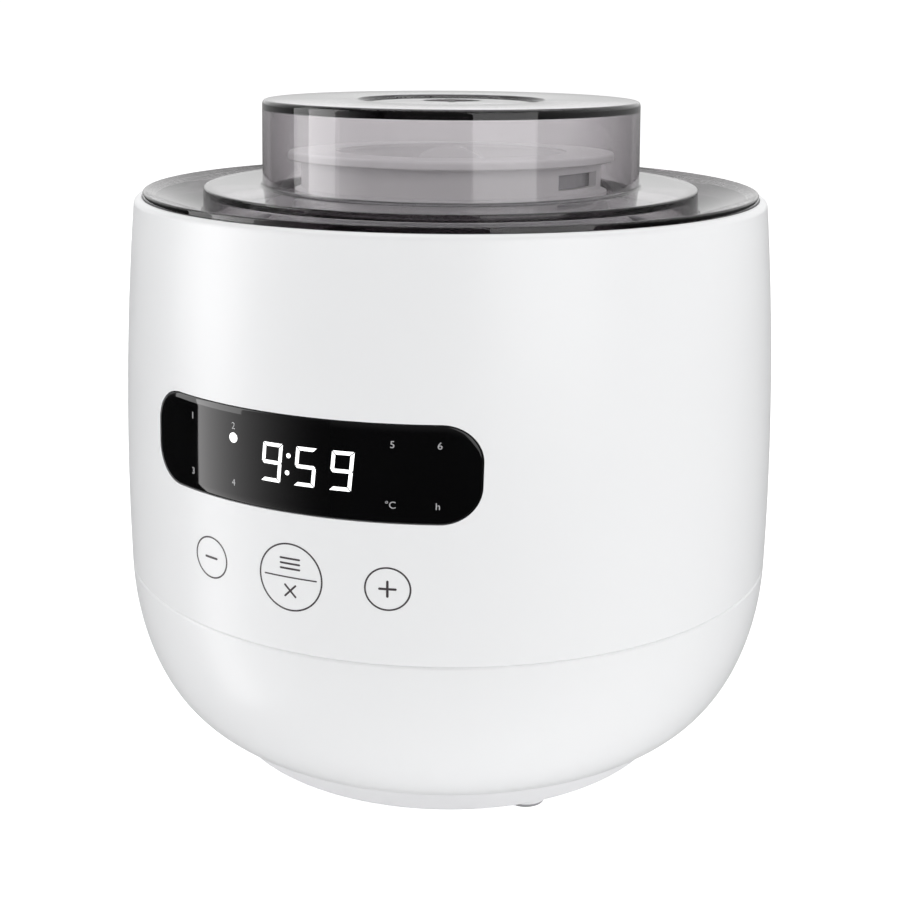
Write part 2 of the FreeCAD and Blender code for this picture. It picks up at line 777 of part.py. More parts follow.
def make_jar():
    """Translucent jar with a drawn-in neck."""
    inner = "jar_radius - jar_wall"
    return turned("jar", [
        ("0", "well_floor + 0.6"),
        ("40", "well_floor + 0.6"),
        ("41", "well_floor"),
        ("jar_radius - 6", "well_floor"),
        ("jar_radius", "well_floor + 6", "6", 1),
        ("jar_radius", "jar_shoulder"),
        ("neck_radius + 1.5", "neck_foot", "20", 1),
        ("neck_radius", "neck_foot + 1.5", "1.5", -1),
        ("neck_radius", "neck_top"),
        ("neck_radius - jar_wall", "neck_top"),
        ("neck_radius - jar_wall", "neck_foot"),
        (inner, "jar_shoulder", "20", -1),
        (inner, "well_floor + 6.5"),
        ("jar_radius - 6.5", "well_floor + 2.5", "4", -1),
        ("0", "well_floor + 2.5"),
    ])


def make_strainer():
    """Whey strainer that hangs by its rim in the jar's neck."""
    top = "neck_top + strainer_rim"
    body = turned("strainer", [
        ("0", "strainer_floor"),
        ("33.4", "strainer_floor"),
        ("35", "strainer_floor + 1.6", "1.6", 1),
        ("strainer_radius", "neck_top - 14"),
        ("strainer_radius", "neck_top"),
        ("neck_radius - 0.5", "neck_top"),
        ("neck_radius - 0.5", top),
        ("strainer_radius - strainer_wall", top),
        ("strainer_radius - strainer_wall", "neck_top - 14"),
        ("35 - strainer_wall", "strainer_floor + 1.6"),
        ("0", "strainer_floor + 1.6"),
    ])
    for low, length in (("strainer_floor + 6", "40"), ("strainer_floor + 51", "40")):
        slot = block(body, "30", "-0.8", "40", "0.8", low, length, "Pocket")
        around(body, [slot], 24, sketch_of(slot))
    for inner, outer in (("7", "17"), ("20", "31")):
        gap = block(body, inner, "-0.8", outer, "0.8", "strainer_floor - 1", "4", "Pocket")
        around(body, [gap], 16, sketch_of(gap))
    return body


def make_lid_seal():
    low, high = "neck_top + strainer_rim", "neck_top + strainer_rim + seal_height"
    return turned("lid_seal", [("36.6", low), ("40.8", low), ("40.8", high), ("36.6", high)])


def make_pot_lid():
    """Pot lid: flat flange, round hollow with a thumb grip, and a windowed skirt."""
    low = "neck_top + strainer_rim + seal_height"
    top = f"{low} + lid_thick"
    hollow = f"{low} - hollow_depth"
    inner_skirt = "skirt_radius - skirt_wall"
    body = turned("pot_lid", [
        ("0", hollow), ("hollow_radius - 2.8", hollow),
        ("hollow_radius - 0.8", f"{top} - 0.8"), ("hollow_radius", top, "0.8", 1),
        ("lid_radius - 0.8", top), ("lid_radius", f"{top} - 0.8", "0.8", -1),
        ("lid_radius", f"{low} + 0.5"), ("lid_radius - 0.5", low),
        ("skirt_radius", low), ("skirt_radius", "skirt_foot + 1.8"),
        ("skirt_radius + 1.8", "skirt_foot + 1.2"), ("skirt_radius + 1.8", "skirt_foot"),
        (inner_skirt, "skirt_foot"), (inner_skirt, low),
        ("hollow_radius + 1.6", low), ("hollow_radius + 0.7", f"{low} - 0.6"),
        ("hollow_radius - 1", f"{hollow} - 2"), ("0", f"{hollow} - 2"),
    ])
    grip = new_sketch(body, "XZ_Plane")
    outline(grip, [
        ("-grip_half", f"{hollow} - 0.5"), ("grip_half", f"{hollow} - 0.5", "grip_arc", -1),
    ])
    web = add_feature(body, "Pad", grip, "grip_thick")
    web.Midplane = True
    window = block(
        body, "skirt_radius - 7", "skirt_window_near", "skirt_radius + 1.4", "skirt_window_far",
        "skirt_foot + 3.2", "skirt_window_rise", "Pocket",
    )
    around(body, [window], 2, sketch_of(window))
    return body


def make_cover():
    """Smoky cover: top cylinder, middle step and dished flange, one moulding."""
    wall = "cover_wall"
    body = turned("cover", [
        ("0", "cover_top - cover_recess_depth"),
        ("cover_recess_radius - 0.8", "cover_top - cover_recess_depth"),
        ("cover_recess_radius", "cover_top"),
        ("crown_radius - 1.2", "cover_top"),
        ("crown_radius", "cover_top - 1.2", "1.2", -1),
        ("crown_foot_radius", "step_height + 1"),
        ("crown_foot_radius + 1", "step_height", "1", 1),
        ("step_radius - 0.5", "step_height"),
        ("step_radius", "step_height - 0.5", "0.5", -1),
        ("step_radius + 0.4", "dish_height + 0.8"),
        ("step_radius + 1.2", "dish_height", "0.8", 1),
        ("rim_bore - 0.9", "flange_top"),
        ("rim_bore - 0.3", "flange_top - 0.6", "0.6", -1),
        ("rim_bore - 0.3", "cover_edge"),
        ("85.7", "cover_edge"),
        ("step_radius - 1.2", f"dish_height - {wall}"),
        (f"step_radius - {wall}", f"dish_height - {wall} + 0.8"),
        (f"step_radius - {wall}", f"step_height - {wall}"),
        (f"crown_foot_radius - {wall}", f"step_height - {wall}"),
        (f"crown_radius - {wall}", f"cover_top - {wall} - 0.4"),
        ("0", f"cover_top - {wall} - 0.4"),
    ])
    disc(body, "0", "0", "gate_radius", "cover_top - cover_recess_depth - 0.2", "0.45")
    return body


# ---------------------------------------------------------------- assembly

make_upper_shell()
make_lower_shell()
make_base_cover()
make_well_support()
make_rubber_feet()
make_screws("base_screws", "base_screw_circle", "0", "floor_height + 5", "9.5", True)
seam_spot = "seam_screw_circle * cos(45)"
make_screws("seam_screws", seam_spot, seam_spot, "seam_height + 12", "17", False)
make_inner_deck()
make_heating_well()
make_well_gasket()
make_heater_plate()
make_heater_clamp()
make_heater_band()
make_insulation_sleeve()
make_thermal_fuse()
make_ntc_sensor()
make_display_window()
make_display_frame()
make_display_board()
make_display_screws()
make_digit_module()
make_status_leds()
make_touch_contacts()
make_control_board()
make_board_screws()
make_transformer()
make_relay()
make_capacitors()
make_board_connectors()
make_power_inlet()
make_inlet_pins()
make_leads()
make_jar()
make_strainer()
make_lid_seal()
make_pot_lid()
make_cover()

doc.recompute()
failed = [thing.Label for thing in doc.Objects if {"Invalid", "Error"} & set(thing.State)]
if failed:
    raise RuntimeError(f"failed objects: {failed}")
for piece in made:
    if piece.Shape.isNull() or not piece.Shape.isValid():
        raise RuntimeError(f"{piece.Label} has no valid shape")

os.makedirs("parts", exist_ok=True)
for piece in made:
    piece.Shape.exportStep(f"parts/{piece.Label}.step")
    print(f"{piece.Label}: {len(piece.Shape.Solids)} solid(s), {piece.Shape.Volume / 1000:.2f} cm3")
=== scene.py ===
# %% [markdown]
# # Yogurt maker
# A white, round housing keeps a jar warm. A smoky cover sits in its rim, and the pot lid shows
# through it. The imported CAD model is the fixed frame: inner parts keep their CAD mesh and get a
# finish, while the shells, the window and the cover are remade as smooth surfaces of revolution.

# %% Load the frame
import math

import bmesh
import bpy
import numpy as np
from mathutils import Matrix, Vector


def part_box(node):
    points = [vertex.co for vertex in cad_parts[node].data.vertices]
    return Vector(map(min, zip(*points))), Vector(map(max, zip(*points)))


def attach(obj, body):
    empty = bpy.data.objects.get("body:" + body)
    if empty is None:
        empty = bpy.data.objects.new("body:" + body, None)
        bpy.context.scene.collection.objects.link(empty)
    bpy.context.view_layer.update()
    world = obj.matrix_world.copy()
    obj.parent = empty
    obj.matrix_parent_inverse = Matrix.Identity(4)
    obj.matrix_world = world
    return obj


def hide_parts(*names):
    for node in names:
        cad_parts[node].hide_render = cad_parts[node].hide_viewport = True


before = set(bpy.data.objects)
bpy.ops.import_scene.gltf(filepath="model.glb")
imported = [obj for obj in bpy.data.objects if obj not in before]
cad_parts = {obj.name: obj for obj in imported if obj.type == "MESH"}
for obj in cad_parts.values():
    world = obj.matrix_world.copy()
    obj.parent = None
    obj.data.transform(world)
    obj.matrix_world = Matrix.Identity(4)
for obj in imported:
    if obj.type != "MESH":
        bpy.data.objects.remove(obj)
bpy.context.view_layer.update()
MM = 0.001

# %% [markdown]
# ## Driving sizes
# The seam, the panel, the cover's top and the inlet come from the frame's boxes. The rest repeat
# the mouldings' own measures, such as radii, wall thickness and edge rounding.

# %% Sizes
TONGUE = 2.0 * MM
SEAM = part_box("upper_shell")[0].z + TONGUE
SEAM_BEVEL = 0.35 * MM
BODY_R = 97.4 * MM
WALL = 2.4 * MM
RIM_TOP = 165.9 * MM
RIM_R = 91.4 * MM
RIM_ROUND = 1.8 * MM
RIM_BORE = 89.1 * MM
BARREL_R = 900 * MM
LEDGE = 161.0 * MM
LEDGE_WIDE = 2.6 * MM
BOWL_CENTRE = 71.4 * MM
BOWL_DEEP = 48.7 * MM
BASE_BORE = 66.2 * MM
PANEL_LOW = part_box("display_window")[0].z
PANEL_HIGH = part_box("display_window")[1].z
PANEL_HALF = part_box("display_window")[1].x
PANEL_MID = (PANEL_LOW + PANEL_HIGH) / 2
PANEL_CORNER = 9.5 * MM
COVER_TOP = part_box("cover")[1].z
FLANGE_TOP = 167.5 * MM
STEP_TOP = 168.2 * MM
STEP_R = 71.7 * MM
CROWN_R = 54.35 * MM
CROWN_FOOT_R = 54.9 * MM
DISH = 161.2 * MM
COVER_EDGE = 163.6 * MM
COVER_WALL = 2.3 * MM
COVER_GAP = 0.3 * MM
RECESS_R = 27.4 * MM
RECESS_DEEP = 0.8 * MM
INLET_Z = (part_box("power_inlet")[0].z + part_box("power_inlet")[1].z) / 2
print(f"seam {SEAM / MM:.1f} mm, panel {PANEL_LOW / MM:.1f} to {PANEL_HIGH / MM:.1f} mm")

# %% [markdown]
# ## Profiles and surfaces of revolution
# Every shell here was moulded from a turned tool, so each one is a half section carried round
# the vertical axis. A section is a list of corners; an entry with four values ends an arc. Real
# mouldings have no perfectly sharp corners, so each corner gets a tiny round, which catches
# a thin highlight.

# %% Section helpers
def arc_centre(start, end, radius, side):
    """Centre of an arc: from the chord's middle, sqrt(r^2 - (chord / 2)^2) away from its bulge."""
    chord = end - start
    length = np.hypot(*chord)
    right = np.array([chord[1], -chord[0]]) / length
    return (start + end) / 2 - side * right * math.sqrt(max(radius**2 - length**2 / 4, 0))


def arc(start, end, radius, side, count):
    """Points after start along an arc: centre plus radius times (cos, sin) of a swept angle.

    side is +1 when the arc bulges to the right of the run from start to end.
    """
    start, end = np.array(start, float), np.array(end, float)
    centre = arc_centre(start, end, radius, side)
    first = math.atan2(*(start - centre)[::-1])
    last = math.atan2(*(end - centre)[::-1])
    sweep = (last - first + math.pi) % (2 * math.pi) - math.pi
    angle = first + sweep * np.arange(1, count + 1) / count
    return centre + radius * np.stack([np.cos(angle), np.sin(angle)], axis=1)


def section(corners, round_by=0.25 * MM, arc_steps=10):
    """A dense closed outline from corners, its hard corners rounded by a quadratic blend.

    A blend runs from a to c past the corner b: (1-t)^2 a + 2t(1-t) b + t^2 c.
    """
    points = []
    for index, corner in enumerate(corners):
        if len(corner) == 2:
            points.append(np.array(corner, float))
        else:
            before = corners[index - 1][:2]
            points.extend(arc(before, corner[:2], corner[2], corner[3], arc_steps))
    smooth = []
    for index, point in enumerate(points):
        into = point - points[index - 1]
        away = points[(index + 1) % len(points)] - point
        lengths = np.hypot(*into), np.hypot(*away)
        bend = abs(math.remainder(math.atan2(*away[::-1]) - math.atan2(*into[::-1]), 2 * math.pi))
        on_axis = point[0] < 1e-7
        if bend < math.radians(25) or on_axis:
            smooth.append(point)
            continue
        reach = min(round_by, 0.45 * min(lengths))
        a, c = point - into / lengths[0] * reach, point + away / lengths[1] * reach
        for t in (0, 0.25, 0.5, 0.75, 1):
            smooth.append((1 - t) ** 2 * a + 2 * t * (1 - t) * point + t**2 * c)
    outline = np.array(smooth)
    after = np.roll(outline, -1, axis=0)
    area = np.sum(outline[:, 0] * after[:, 1] - after[:, 0] * outline[:, 1])
    return outline if area > 0 else outline[::-1]


def new_piece(name, points, faces, smooth_angle=40):
    """A mesh object at the origin, its faces turned outward and its hard edges kept sharp."""
    mesh = bpy.data.meshes.new(name)
    mesh.from_pydata(points.tolist(), [], [tuple(face) for face in faces])
    shape = bmesh.new()
    shape.from_mesh(mesh)
    bmesh.ops.recalc_face_normals(shape, faces=shape.faces)
    shape.to_mesh(mesh)
    shape.free()
    mesh.polygons.foreach_set("use_smooth", np.ones(len(mesh.polygons), bool))
    mesh.update()
    mesh.set_sharp_from_angle(angle=math.radians(smooth_angle))
    piece = bpy.data.objects.new(name, mesh)
    bpy.context.scene.collection.objects.link(piece)
    return piece


def revolve(name, outline, steps=256):
    """Carries a closed outline (r, z) round the axis: (r cos a, r sin a, z) for each angle a.

    Outline points that lie on the axis become one vertex each, joined by a fan.
    """
    angle = np.arange(steps) * 2 * np.pi / steps
    count = len(outline)
    radius, height = outline[:, 0], outline[:, 1]
    ring = np.stack([radius[:, None] * np.cos(angle), radius[:, None] * np.sin(angle),
                     np.repeat(height[:, None], steps, axis=1)], axis=2)
    index = np.arange(count * steps).reshape(count, steps)
    on_axis = radius < 1e-7
    index[on_axis] = index[on_axis][:, :1]
    low, high = index, np.roll(index, -1, axis=0)
    quads = np.stack([low, np.roll(low, -1, axis=1), np.roll(high, -1, axis=1), high], axis=2)
    quads = quads.reshape(-1, 4)
    both_axis = (on_axis & np.roll(on_axis, -1)).repeat(steps)
    quads = quads[~both_axis]
    used, compact = np.unique(quads, return_inverse=True)
    quads = compact.reshape(-1, 4)
    faces = [tuple(dict.fromkeys(quad)) for quad in quads.tolist()]
    return new_piece(name, ring.reshape(-1, 3)[used], faces)


def barrel_radius(height):
    """Outer radius of the upper shell at a height: one large arc from the seam to the rim."""
    low, high = np.array([BODY_R, SEAM]), np.array([RIM_R, RIM_TOP - RIM_ROUND])
    centre = arc_centre(low, high, BARREL_R, 1)
    return centre[0] + np.sqrt(BARREL_R**2 - (height - centre[1]) ** 2)


def on_barrel(across, height, depth=0.0):
    """Wraps flat front-view places onto the shell: x stays, y is -sqrt(r^2 - x^2), sunk by depth."""
    radius = barrel_radius(height)
    angle = np.arcsin(across / radius)
    return np.stack([(radius - depth) * np.sin(angle), -(radius - depth) * np.cos(angle),
                     height + 0 * across], axis=-1)


print("barrel radius at the panel:", round(float(barrel_radius(PANEL_MID)) / MM, 2), "mm")

# %% [markdown]
# ## Camera
# A long lens a little above the rim looks down at the panel from the right. The stand-off, the
# height and the slight roll are those of a product shot with the whole object in view.

# %% Camera
CAMERA_AZIMUTH = math.radians(24.2)
CAMERA_DISTANCE = 424.3 * MM
CAMERA_HEIGHT = SEAM + 154.8 * MM
CAMERA_PITCH = math.radians(16.65)
CAMERA_ROLL = math.radians(0.39)
CAMERA_ASIDE = 0.28 * MM
LENS_MM = 57.1

camera_data = bpy.data.cameras.new("camera")
camera_data.lens = LENS_MM
camera_data.sensor_width = 36
camera_data.clip_start = 0.01
camera = bpy.data.objects.new("camera", camera_data)
bpy.context.scene.collection.objects.link(camera)
stand = Vector((CAMERA_DISTANCE * math.sin(CAMERA_AZIMUTH),
                -CAMERA_DISTANCE * math.cos(CAMERA_AZIMUTH), CAMERA_HEIGHT))
turn = (Matrix.Rotation(CAMERA_AZIMUTH, 4, "Z") @ Matrix.Rotation(math.pi / 2 - CAMERA_PITCH, 4, "X")
        @ Matrix.Rotation(CAMERA_ROLL, 4, "Z"))
camera.matrix_world = Matrix.Translation(stand) @ turn @ Matrix.Translation((CAMERA_ASIDE, 0, 0))
bpy.context.scene.camera = camera
print("camera at", tuple(round(v, 3) for v in stand))

# %% [markdown]
# ## Finishes
# Moulded plastic is never perfectly even: the tool leaves a fine grain, the gloss wanders a
# little, and the tone shifts slightly with wall thickness. Three node groups carry those
# effects, and each of the object's materials places them with its own values.

# %% Shared effects
def node(tree, kind, place=(0, 0), **settings):
    """A new node at a place in the editor, with its settings applied."""
    made = tree.nodes.new(kind)
    made.location = place
    for name, value in settings.items():
        setattr(made, name, value)
    return made


def effect_group(name, inputs, outputs):
    """An empty node group with named sockets; inputs is {name: (type, default)}."""
    tree = bpy.data.node_groups.new(name, "ShaderNodeTree")
    for label, (kind, default) in inputs.items():
        socket = tree.interface.new_socket(name=label, in_out="INPUT", socket_type=kind)
        socket.default_value = default
    for label, kind in outputs.items():
        tree.interface.new_socket(name=label, in_out="OUTPUT", socket_type=kind)
    return tree, node(tree, "NodeGroupInput", (-900, 0)), node(tree, "NodeGroupOutput", (600, 0))


def make_mould_grain():
    """Fine tool grain: two octaves of noise added as a height."""
    tree, source, result = effect_group(
        "mould_grain", {"Scale": ("NodeSocketFloat", 2000.0), "Swirl": ("NodeSocketFloat", 0.2)},
        {"Height": "NodeSocketFloat"})
    place = node(tree, "ShaderNodeTexCoord", (-900, 250))
    fine = node(tree, "ShaderNodeTexNoise", (-500, 150))
    broad = node(tree, "ShaderNodeTexNoise", (-500, -150))
    broad.inputs["Scale"].default_value = 35
    broad.inputs["Detail"].default_value = 1
    share = node(tree, "ShaderNodeMath", (-200, -150), operation="MULTIPLY")
    both = node(tree, "ShaderNodeMath", (100, 0), operation="ADD")
    tree.links.new(place.outputs["Object"], fine.inputs["Vector"])
    tree.links.new(place.outputs["Object"], broad.inputs["Vector"])
    tree.links.new(source.outputs["Scale"], fine.inputs["Scale"])
    tree.links.new(broad.outputs["Fac"], share.inputs[0])
    tree.links.new(source.outputs["Swirl"], share.inputs[1])
    tree.links.new(fine.outputs["Fac"], both.inputs[0])
    tree.links.new(share.outputs[0], both.inputs[1])
    tree.links.new(both.outputs[0], result.inputs["Height"])
    return tree


def make_gloss_drift():
    """Roughness that wanders: middle value plus or minus a spread, from soft noise."""
    tree, source, result = effect_group(
        "gloss_drift", {"Middle": ("NodeSocketFloat", 0.3), "Spread": ("NodeSocketFloat", 0.05),
                        "Scale": ("NodeSocketFloat", 40.0)}, {"Roughness": "NodeSocketFloat"})
    place = node(tree, "ShaderNodeTexCoord", (-900, 250))
    noise = node(tree, "ShaderNodeTexNoise", (-500, 150))
    noise.inputs["Detail"].default_value = 3
    span = node(tree, "ShaderNodeMapRange", (-200, 100))
    low = node(tree, "ShaderNodeMath", (-500, -100), operation="SUBTRACT")
    high = node(tree, "ShaderNodeMath", (-500, -260), operation="ADD")
    tree.links.new(place.outputs["Object"], noise.inputs["Vector"])
    tree.links.new(source.outputs["Scale"], noise.inputs["Scale"])
    for part in (low, high):
        tree.links.new(source.outputs["Middle"], part.inputs[0])
        tree.links.new(source.outputs["Spread"], part.inputs[1])
    span.inputs["From Min"].default_value = 0.1
    span.inputs["From Max"].default_value = 0.9
    tree.links.new(noise.outputs["Fac"], span.inputs["Value"])
    tree.links.new(low.outputs[0], span.inputs["To Min"])
    tree.links.new(high.outputs[0], span.inputs["To Max"])
    tree.links.new(span.outputs["Result"], result.inputs["Roughness"])
    return tree


def make_tone_drift():
    """Colour that shifts between two tones over a soft noise."""
    tree, source, result = effect_group(
        "tone_drift", {"Tone": ("NodeSocketColor", (1, 1, 1, 1)),
                       "Other": ("NodeSocketColor", (1, 1, 1, 1)),
                       "Scale": ("NodeSocketFloat", 12.0)}, {"Color": "NodeSocketColor"})
    place = node(tree, "ShaderNodeTexCoord", (-900, 250))
    noise = node(tree, "ShaderNodeTexNoise", (-500, 150))
    mix = node(tree, "ShaderNodeMix", (-100, 0), data_type="RGBA")
    tree.links.new(place.outputs["Object"], noise.inputs["Vector"])
    tree.links.new(source.outputs["Scale"], noise.inputs["Scale"])
    tree.links.new(noise.outputs["Fac"], mix.inputs["Factor"])
    tree.links.new(source.outputs["Tone"], mix.inputs["A"])
    tree.links.new(source.outputs["Other"], mix.inputs["B"])
    tree.links.new(mix.outputs["Result"], result.inputs["Color"])
    return tree


MOULD_GRAIN = make_mould_grain()
GLOSS_DRIFT = make_gloss_drift()
TONE_DRIFT = make_tone_drift()
print("shared effects:", [group.name for group in bpy.data.node_groups])


# %% Material maker
def place_group(tree, group, place, **values):
    """One of the shared effects in a material, with this material's own values."""
    made = node(tree, "ShaderNodeGroup", place, node_tree=group)
    for name, value in values.items():
        made.inputs[name].default_value = value
    return made


def finish(name, tone, other, roughness, spread=0.03, grain=1800, grain_height=0.02, swirl=0.2,
           drift_scale=25, **fixed):
    """A Principled material fed by the three effects; fixed sets its plain sockets.

    grain_height is the bump distance in millimetres.
    """
    material = bpy.data.materials.new(name)
    material.use_nodes = True
    tree = material.node_tree
    shader = tree.nodes["Principled BSDF"]
    colour = place_group(tree, TONE_DRIFT, (-400, 300), Tone=(*tone, 1), Other=(*other, 1),
                         Scale=drift_scale)
    gloss = place_group(tree, GLOSS_DRIFT, (-400, 50), Middle=roughness, Spread=spread, Scale=60)
    height = place_group(tree, MOULD_GRAIN, (-650, -200), Scale=grain, Swirl=swirl)
    bump = node(tree, "ShaderNodeBump", (-400, -200))
    bump.inputs["Distance"].default_value = grain_height * MM
    bump.inputs["Strength"].default_value = 0.6
    tree.links.new(colour.outputs["Color"], shader.inputs["Base Color"])
    tree.links.new(gloss.outputs["Roughness"], shader.inputs["Roughness"])
    tree.links.new(height.outputs["Height"], bump.inputs["Height"])
    tree.links.new(bump.outputs["Normal"], shader.inputs["Normal"])
    for socket, value in fixed.items():
        shader.inputs[socket.replace("_", " ")].default_value = value
    return material


def scaled(tree, value, low, high, to_low, to_high, place):
    """A clamped Map Range fed by one socket."""
    span = node(tree, "ShaderNodeMapRange", place)
    for label, number in (("From Min", low), ("From Max", high), ("To Min", to_low), ("To Max", to_high)):
        span.inputs[label].default_value = number
    tree.links.new(value, span.inputs["Value"])
    return span.outputs["Result"]


def wear(piece, material):
    """Gives a piece one material in its only slot."""
    piece.data.materials.clear()
    piece.data.materials.append(material)


print("effects in each material:", len(bpy.data.node_groups))

# %% [markdown]
# ## The white housing
# The shells are moulded in white ABS with a satin face. A very shallow bump keeps the
# highlights soft without reading as texture.

# %% Housing finishes
def white_shell():
    """Satin white ABS: tone and gloss drift a little, and a hair of grain softens highlights."""
    return finish("white_shell", (0.86, 0.865, 0.875), (0.88, 0.885, 0.89), 0.30, spread=0.02,
                  grain=1500, grain_height=0.003, drift_scale=9)


def matt_base():
    """The base cover has the tool's finer spark texture, so it is duller than the shells."""
    return finish("matt_base", (0.80, 0.80, 0.815), (0.83, 0.83, 0.84), 0.5, grain=3200,
                  grain_height=0.03)


def grey_rubber():
    """Matt grey rubber for feet and contact columns."""
    return finish("grey_rubber", (0.30, 0.30, 0.31), (0.36, 0.36, 0.37), 0.75, grain=1600,
                  grain_height=0.05)


def bright_metal(name, tone, roughness):
    """A machined or plated metal part: its gloss wanders more than plastic's."""
    return finish(name, tone, tuple(0.85 * value for value in tone), roughness, spread=0.06,
                  grain=900, grain_height=0.01, Metallic=1.0)


def plain_plastic(name, tone, roughness=0.42):
    """A small moulded inner part: the second tone is a tenth darker."""
    return finish(name, tone, tuple(0.9 * value for value in tone), roughness)


steel = bright_metal("plated_steel", (0.62, 0.62, 0.64), 0.3)
shell_white = white_shell()
black_part = plain_plastic("black_part", (0.018, 0.018, 0.02))
wire_white = plain_plastic("wire_white", (0.74, 0.74, 0.74), 0.5)
print("shared finishes:", [made.name for made in (steel, shell_white, black_part, wire_white)])

# %% [markdown]
# ## Clear and frosted plastics
# The cover is one tinted moulding. A coloured surface would colour thin and thick places alike, so the
# smoke is an absorption in its volume, and its roughness is nearly nothing. On top of that, a painted shade
# darkens its surface colour on upright walls that turn away from the view. The lid and the jar scatter
# light, which a broad roughness on the transmission gives.

# %% Clear finishes
COVER_TINT = (0.50, 0.47, 0.492)
COVER_DENSITY = 285
# The next three values set the painted shade on the cover's upright walls: its dark tone, and the slant
# where it starts and where it is full.
PAINTED_EDGE_SHADE = (0.17, 0.155, 0.165)
FACE_ON = 0.2
EDGE_ON = 0.9


def smoky_cover():
    """Polished smoky plastic. The smoke colour is in the depth of the plastic, as in the real material, so
    a wall seen face on stays light while an edge seen end on goes nearly black. Upright walls also get a
    painted shade that deepens as they turn away: Layer Weight's facing value times one minus |normal z|
    mixes the base colour towards a dark tone."""
    material = finish("smoky_cover", (0.97, 0.965, 0.97), (0.965, 0.96, 0.965), 0.02, spread=0.01,
                      grain=60, grain_height=0.002, drift_scale=5, Transmission_Weight=1.0, IOR=1.49)
    tree = material.node_tree
    shader = tree.nodes["Principled BSDF"]
    # Painted shade: the base colour is mixed towards a dark tone where an upright wall turns away from the
    # view.
    slant = node(tree, "ShaderNodeLayerWeight", (-900, 700))
    slant.inputs["Blend"].default_value = 0.5
    surface = node(tree, "ShaderNodeNewGeometry", (-1100, 550))
    split = node(tree, "ShaderNodeSeparateXYZ", (-900, 550))
    level = node(tree, "ShaderNodeMath", (-700, 550), operation="ABSOLUTE")
    upright = node(tree, "ShaderNodeMath", (-550, 550), operation="SUBTRACT")
    upright.inputs[0].default_value = 1
    edge = node(tree, "ShaderNodeMath", (-400, 650), operation="MULTIPLY")
    edge_shade_mix = node(tree, "ShaderNodeMix", (-200, 450), data_type="RGBA")
    edge_shade_mix.inputs["B"].default_value = (*PAINTED_EDGE_SHADE, 1)
    tree.links.new(surface.outputs["Normal"], split.inputs["Vector"])
    tree.links.new(split.outputs["Z"], level.inputs[0])
    tree.links.new(level.outputs[0], upright.inputs[1])
    turned = scaled(tree, slant.outputs["Facing"], FACE_ON, EDGE_ON, 0, 1, (-700, 750))
    tree.links.new(turned, edge.inputs[0])
    tree.links.new(upright.outputs[0], edge.inputs[1])
    tree.links.new(edge.outputs[0], edge_shade_mix.inputs["Factor"])
    tree.links.new(shader.inputs["Base Color"].links[0].from_socket, edge_shade_mix.inputs["A"])
    tree.links.new(edge_shade_mix.outputs["Result"], shader.inputs["Base Color"])
    depth = node(tree, "ShaderNodeVolumeAbsorption", (-100, -500))
    depth.inputs["Color"].default_value = (*COVER_TINT, 1)
    depth.inputs["Density"].default_value = COVER_DENSITY
    tree.links.new(depth.outputs["Volume"], tree.nodes["Material Output"].inputs["Volume"])
    return material


def frosted_plastic(name, tone, roughness, clarity):
    """Translucent polypropylene: clarity is the share of light that passes through."""
    return finish(name, tone, tuple(0.96 * value for value in tone), roughness, spread=0.05,
                  grain=1400, grain_height=0.01, Transmission_Weight=clarity, IOR=1.49)


def black_window():
    """Piano-black acrylic with a polished face; the faint drift is the print behind it."""
    return finish("black_window", (0.002, 0.002, 0.002), (0.0035, 0.0035, 0.004), 0.045, spread=0.015,
                  grain=80, grain_height=0.002, drift_scale=30, Specular_IOR_Level=0.45)


passed = [math.exp(-COVER_DENSITY * (1 - share) * COVER_WALL) for share in COVER_TINT]
print("share of light through one cover wall:", [round(share, 2) for share in passed])

# %% [markdown]
# ## Inner finishes
# Most of the inside is hidden, yet each part still gets what it is made of: a mica plate, red
# silicone heater, needle felt, green boards and nylon connectors.

# %% Felt, mica and boards
def needle_felt():
    """Off-white felt: coarse fibre noise as a deep bump and a mottled tone."""
    return finish("needle_felt", (0.72, 0.70, 0.66), (0.84, 0.83, 0.80), 0.95, grain=700,
                  grain_height=0.5, swirl=0.6, drift_scale=400)


def mica_plate():
    """Pressed mica: flaky tone over a dull face."""
    return finish("mica_plate", (0.42, 0.37, 0.29), (0.58, 0.53, 0.43), 0.6, grain=500,
                  grain_height=0.08, drift_scale=300)


def solder_mask():
    """Green board varnish with a slight orange peel."""
    return finish("solder_mask", (0.02, 0.13, 0.06), (0.03, 0.18, 0.08), 0.35, grain=400,
                  grain_height=0.02, drift_scale=120)


def lit_diffuser(name, strength):
    """Backlit white plastic: the digits and the status dot glow slightly."""
    material = finish(name, (0.95, 0.95, 0.95), (0.99, 0.99, 0.99), 0.5)
    shader = material.node_tree.nodes["Principled BSDF"]
    shader.inputs["Emission Color"].default_value = (1, 1, 1, 1)
    shader.inputs["Emission Strength"].default_value = strength
    return material


def printed_ink(name, tone):
    """Pad-printed ink, a little glossier than the face under it."""
    return finish(name, tone, tuple(1.15 * value for value in tone), 0.4, grain=2400, grain_height=0.01)


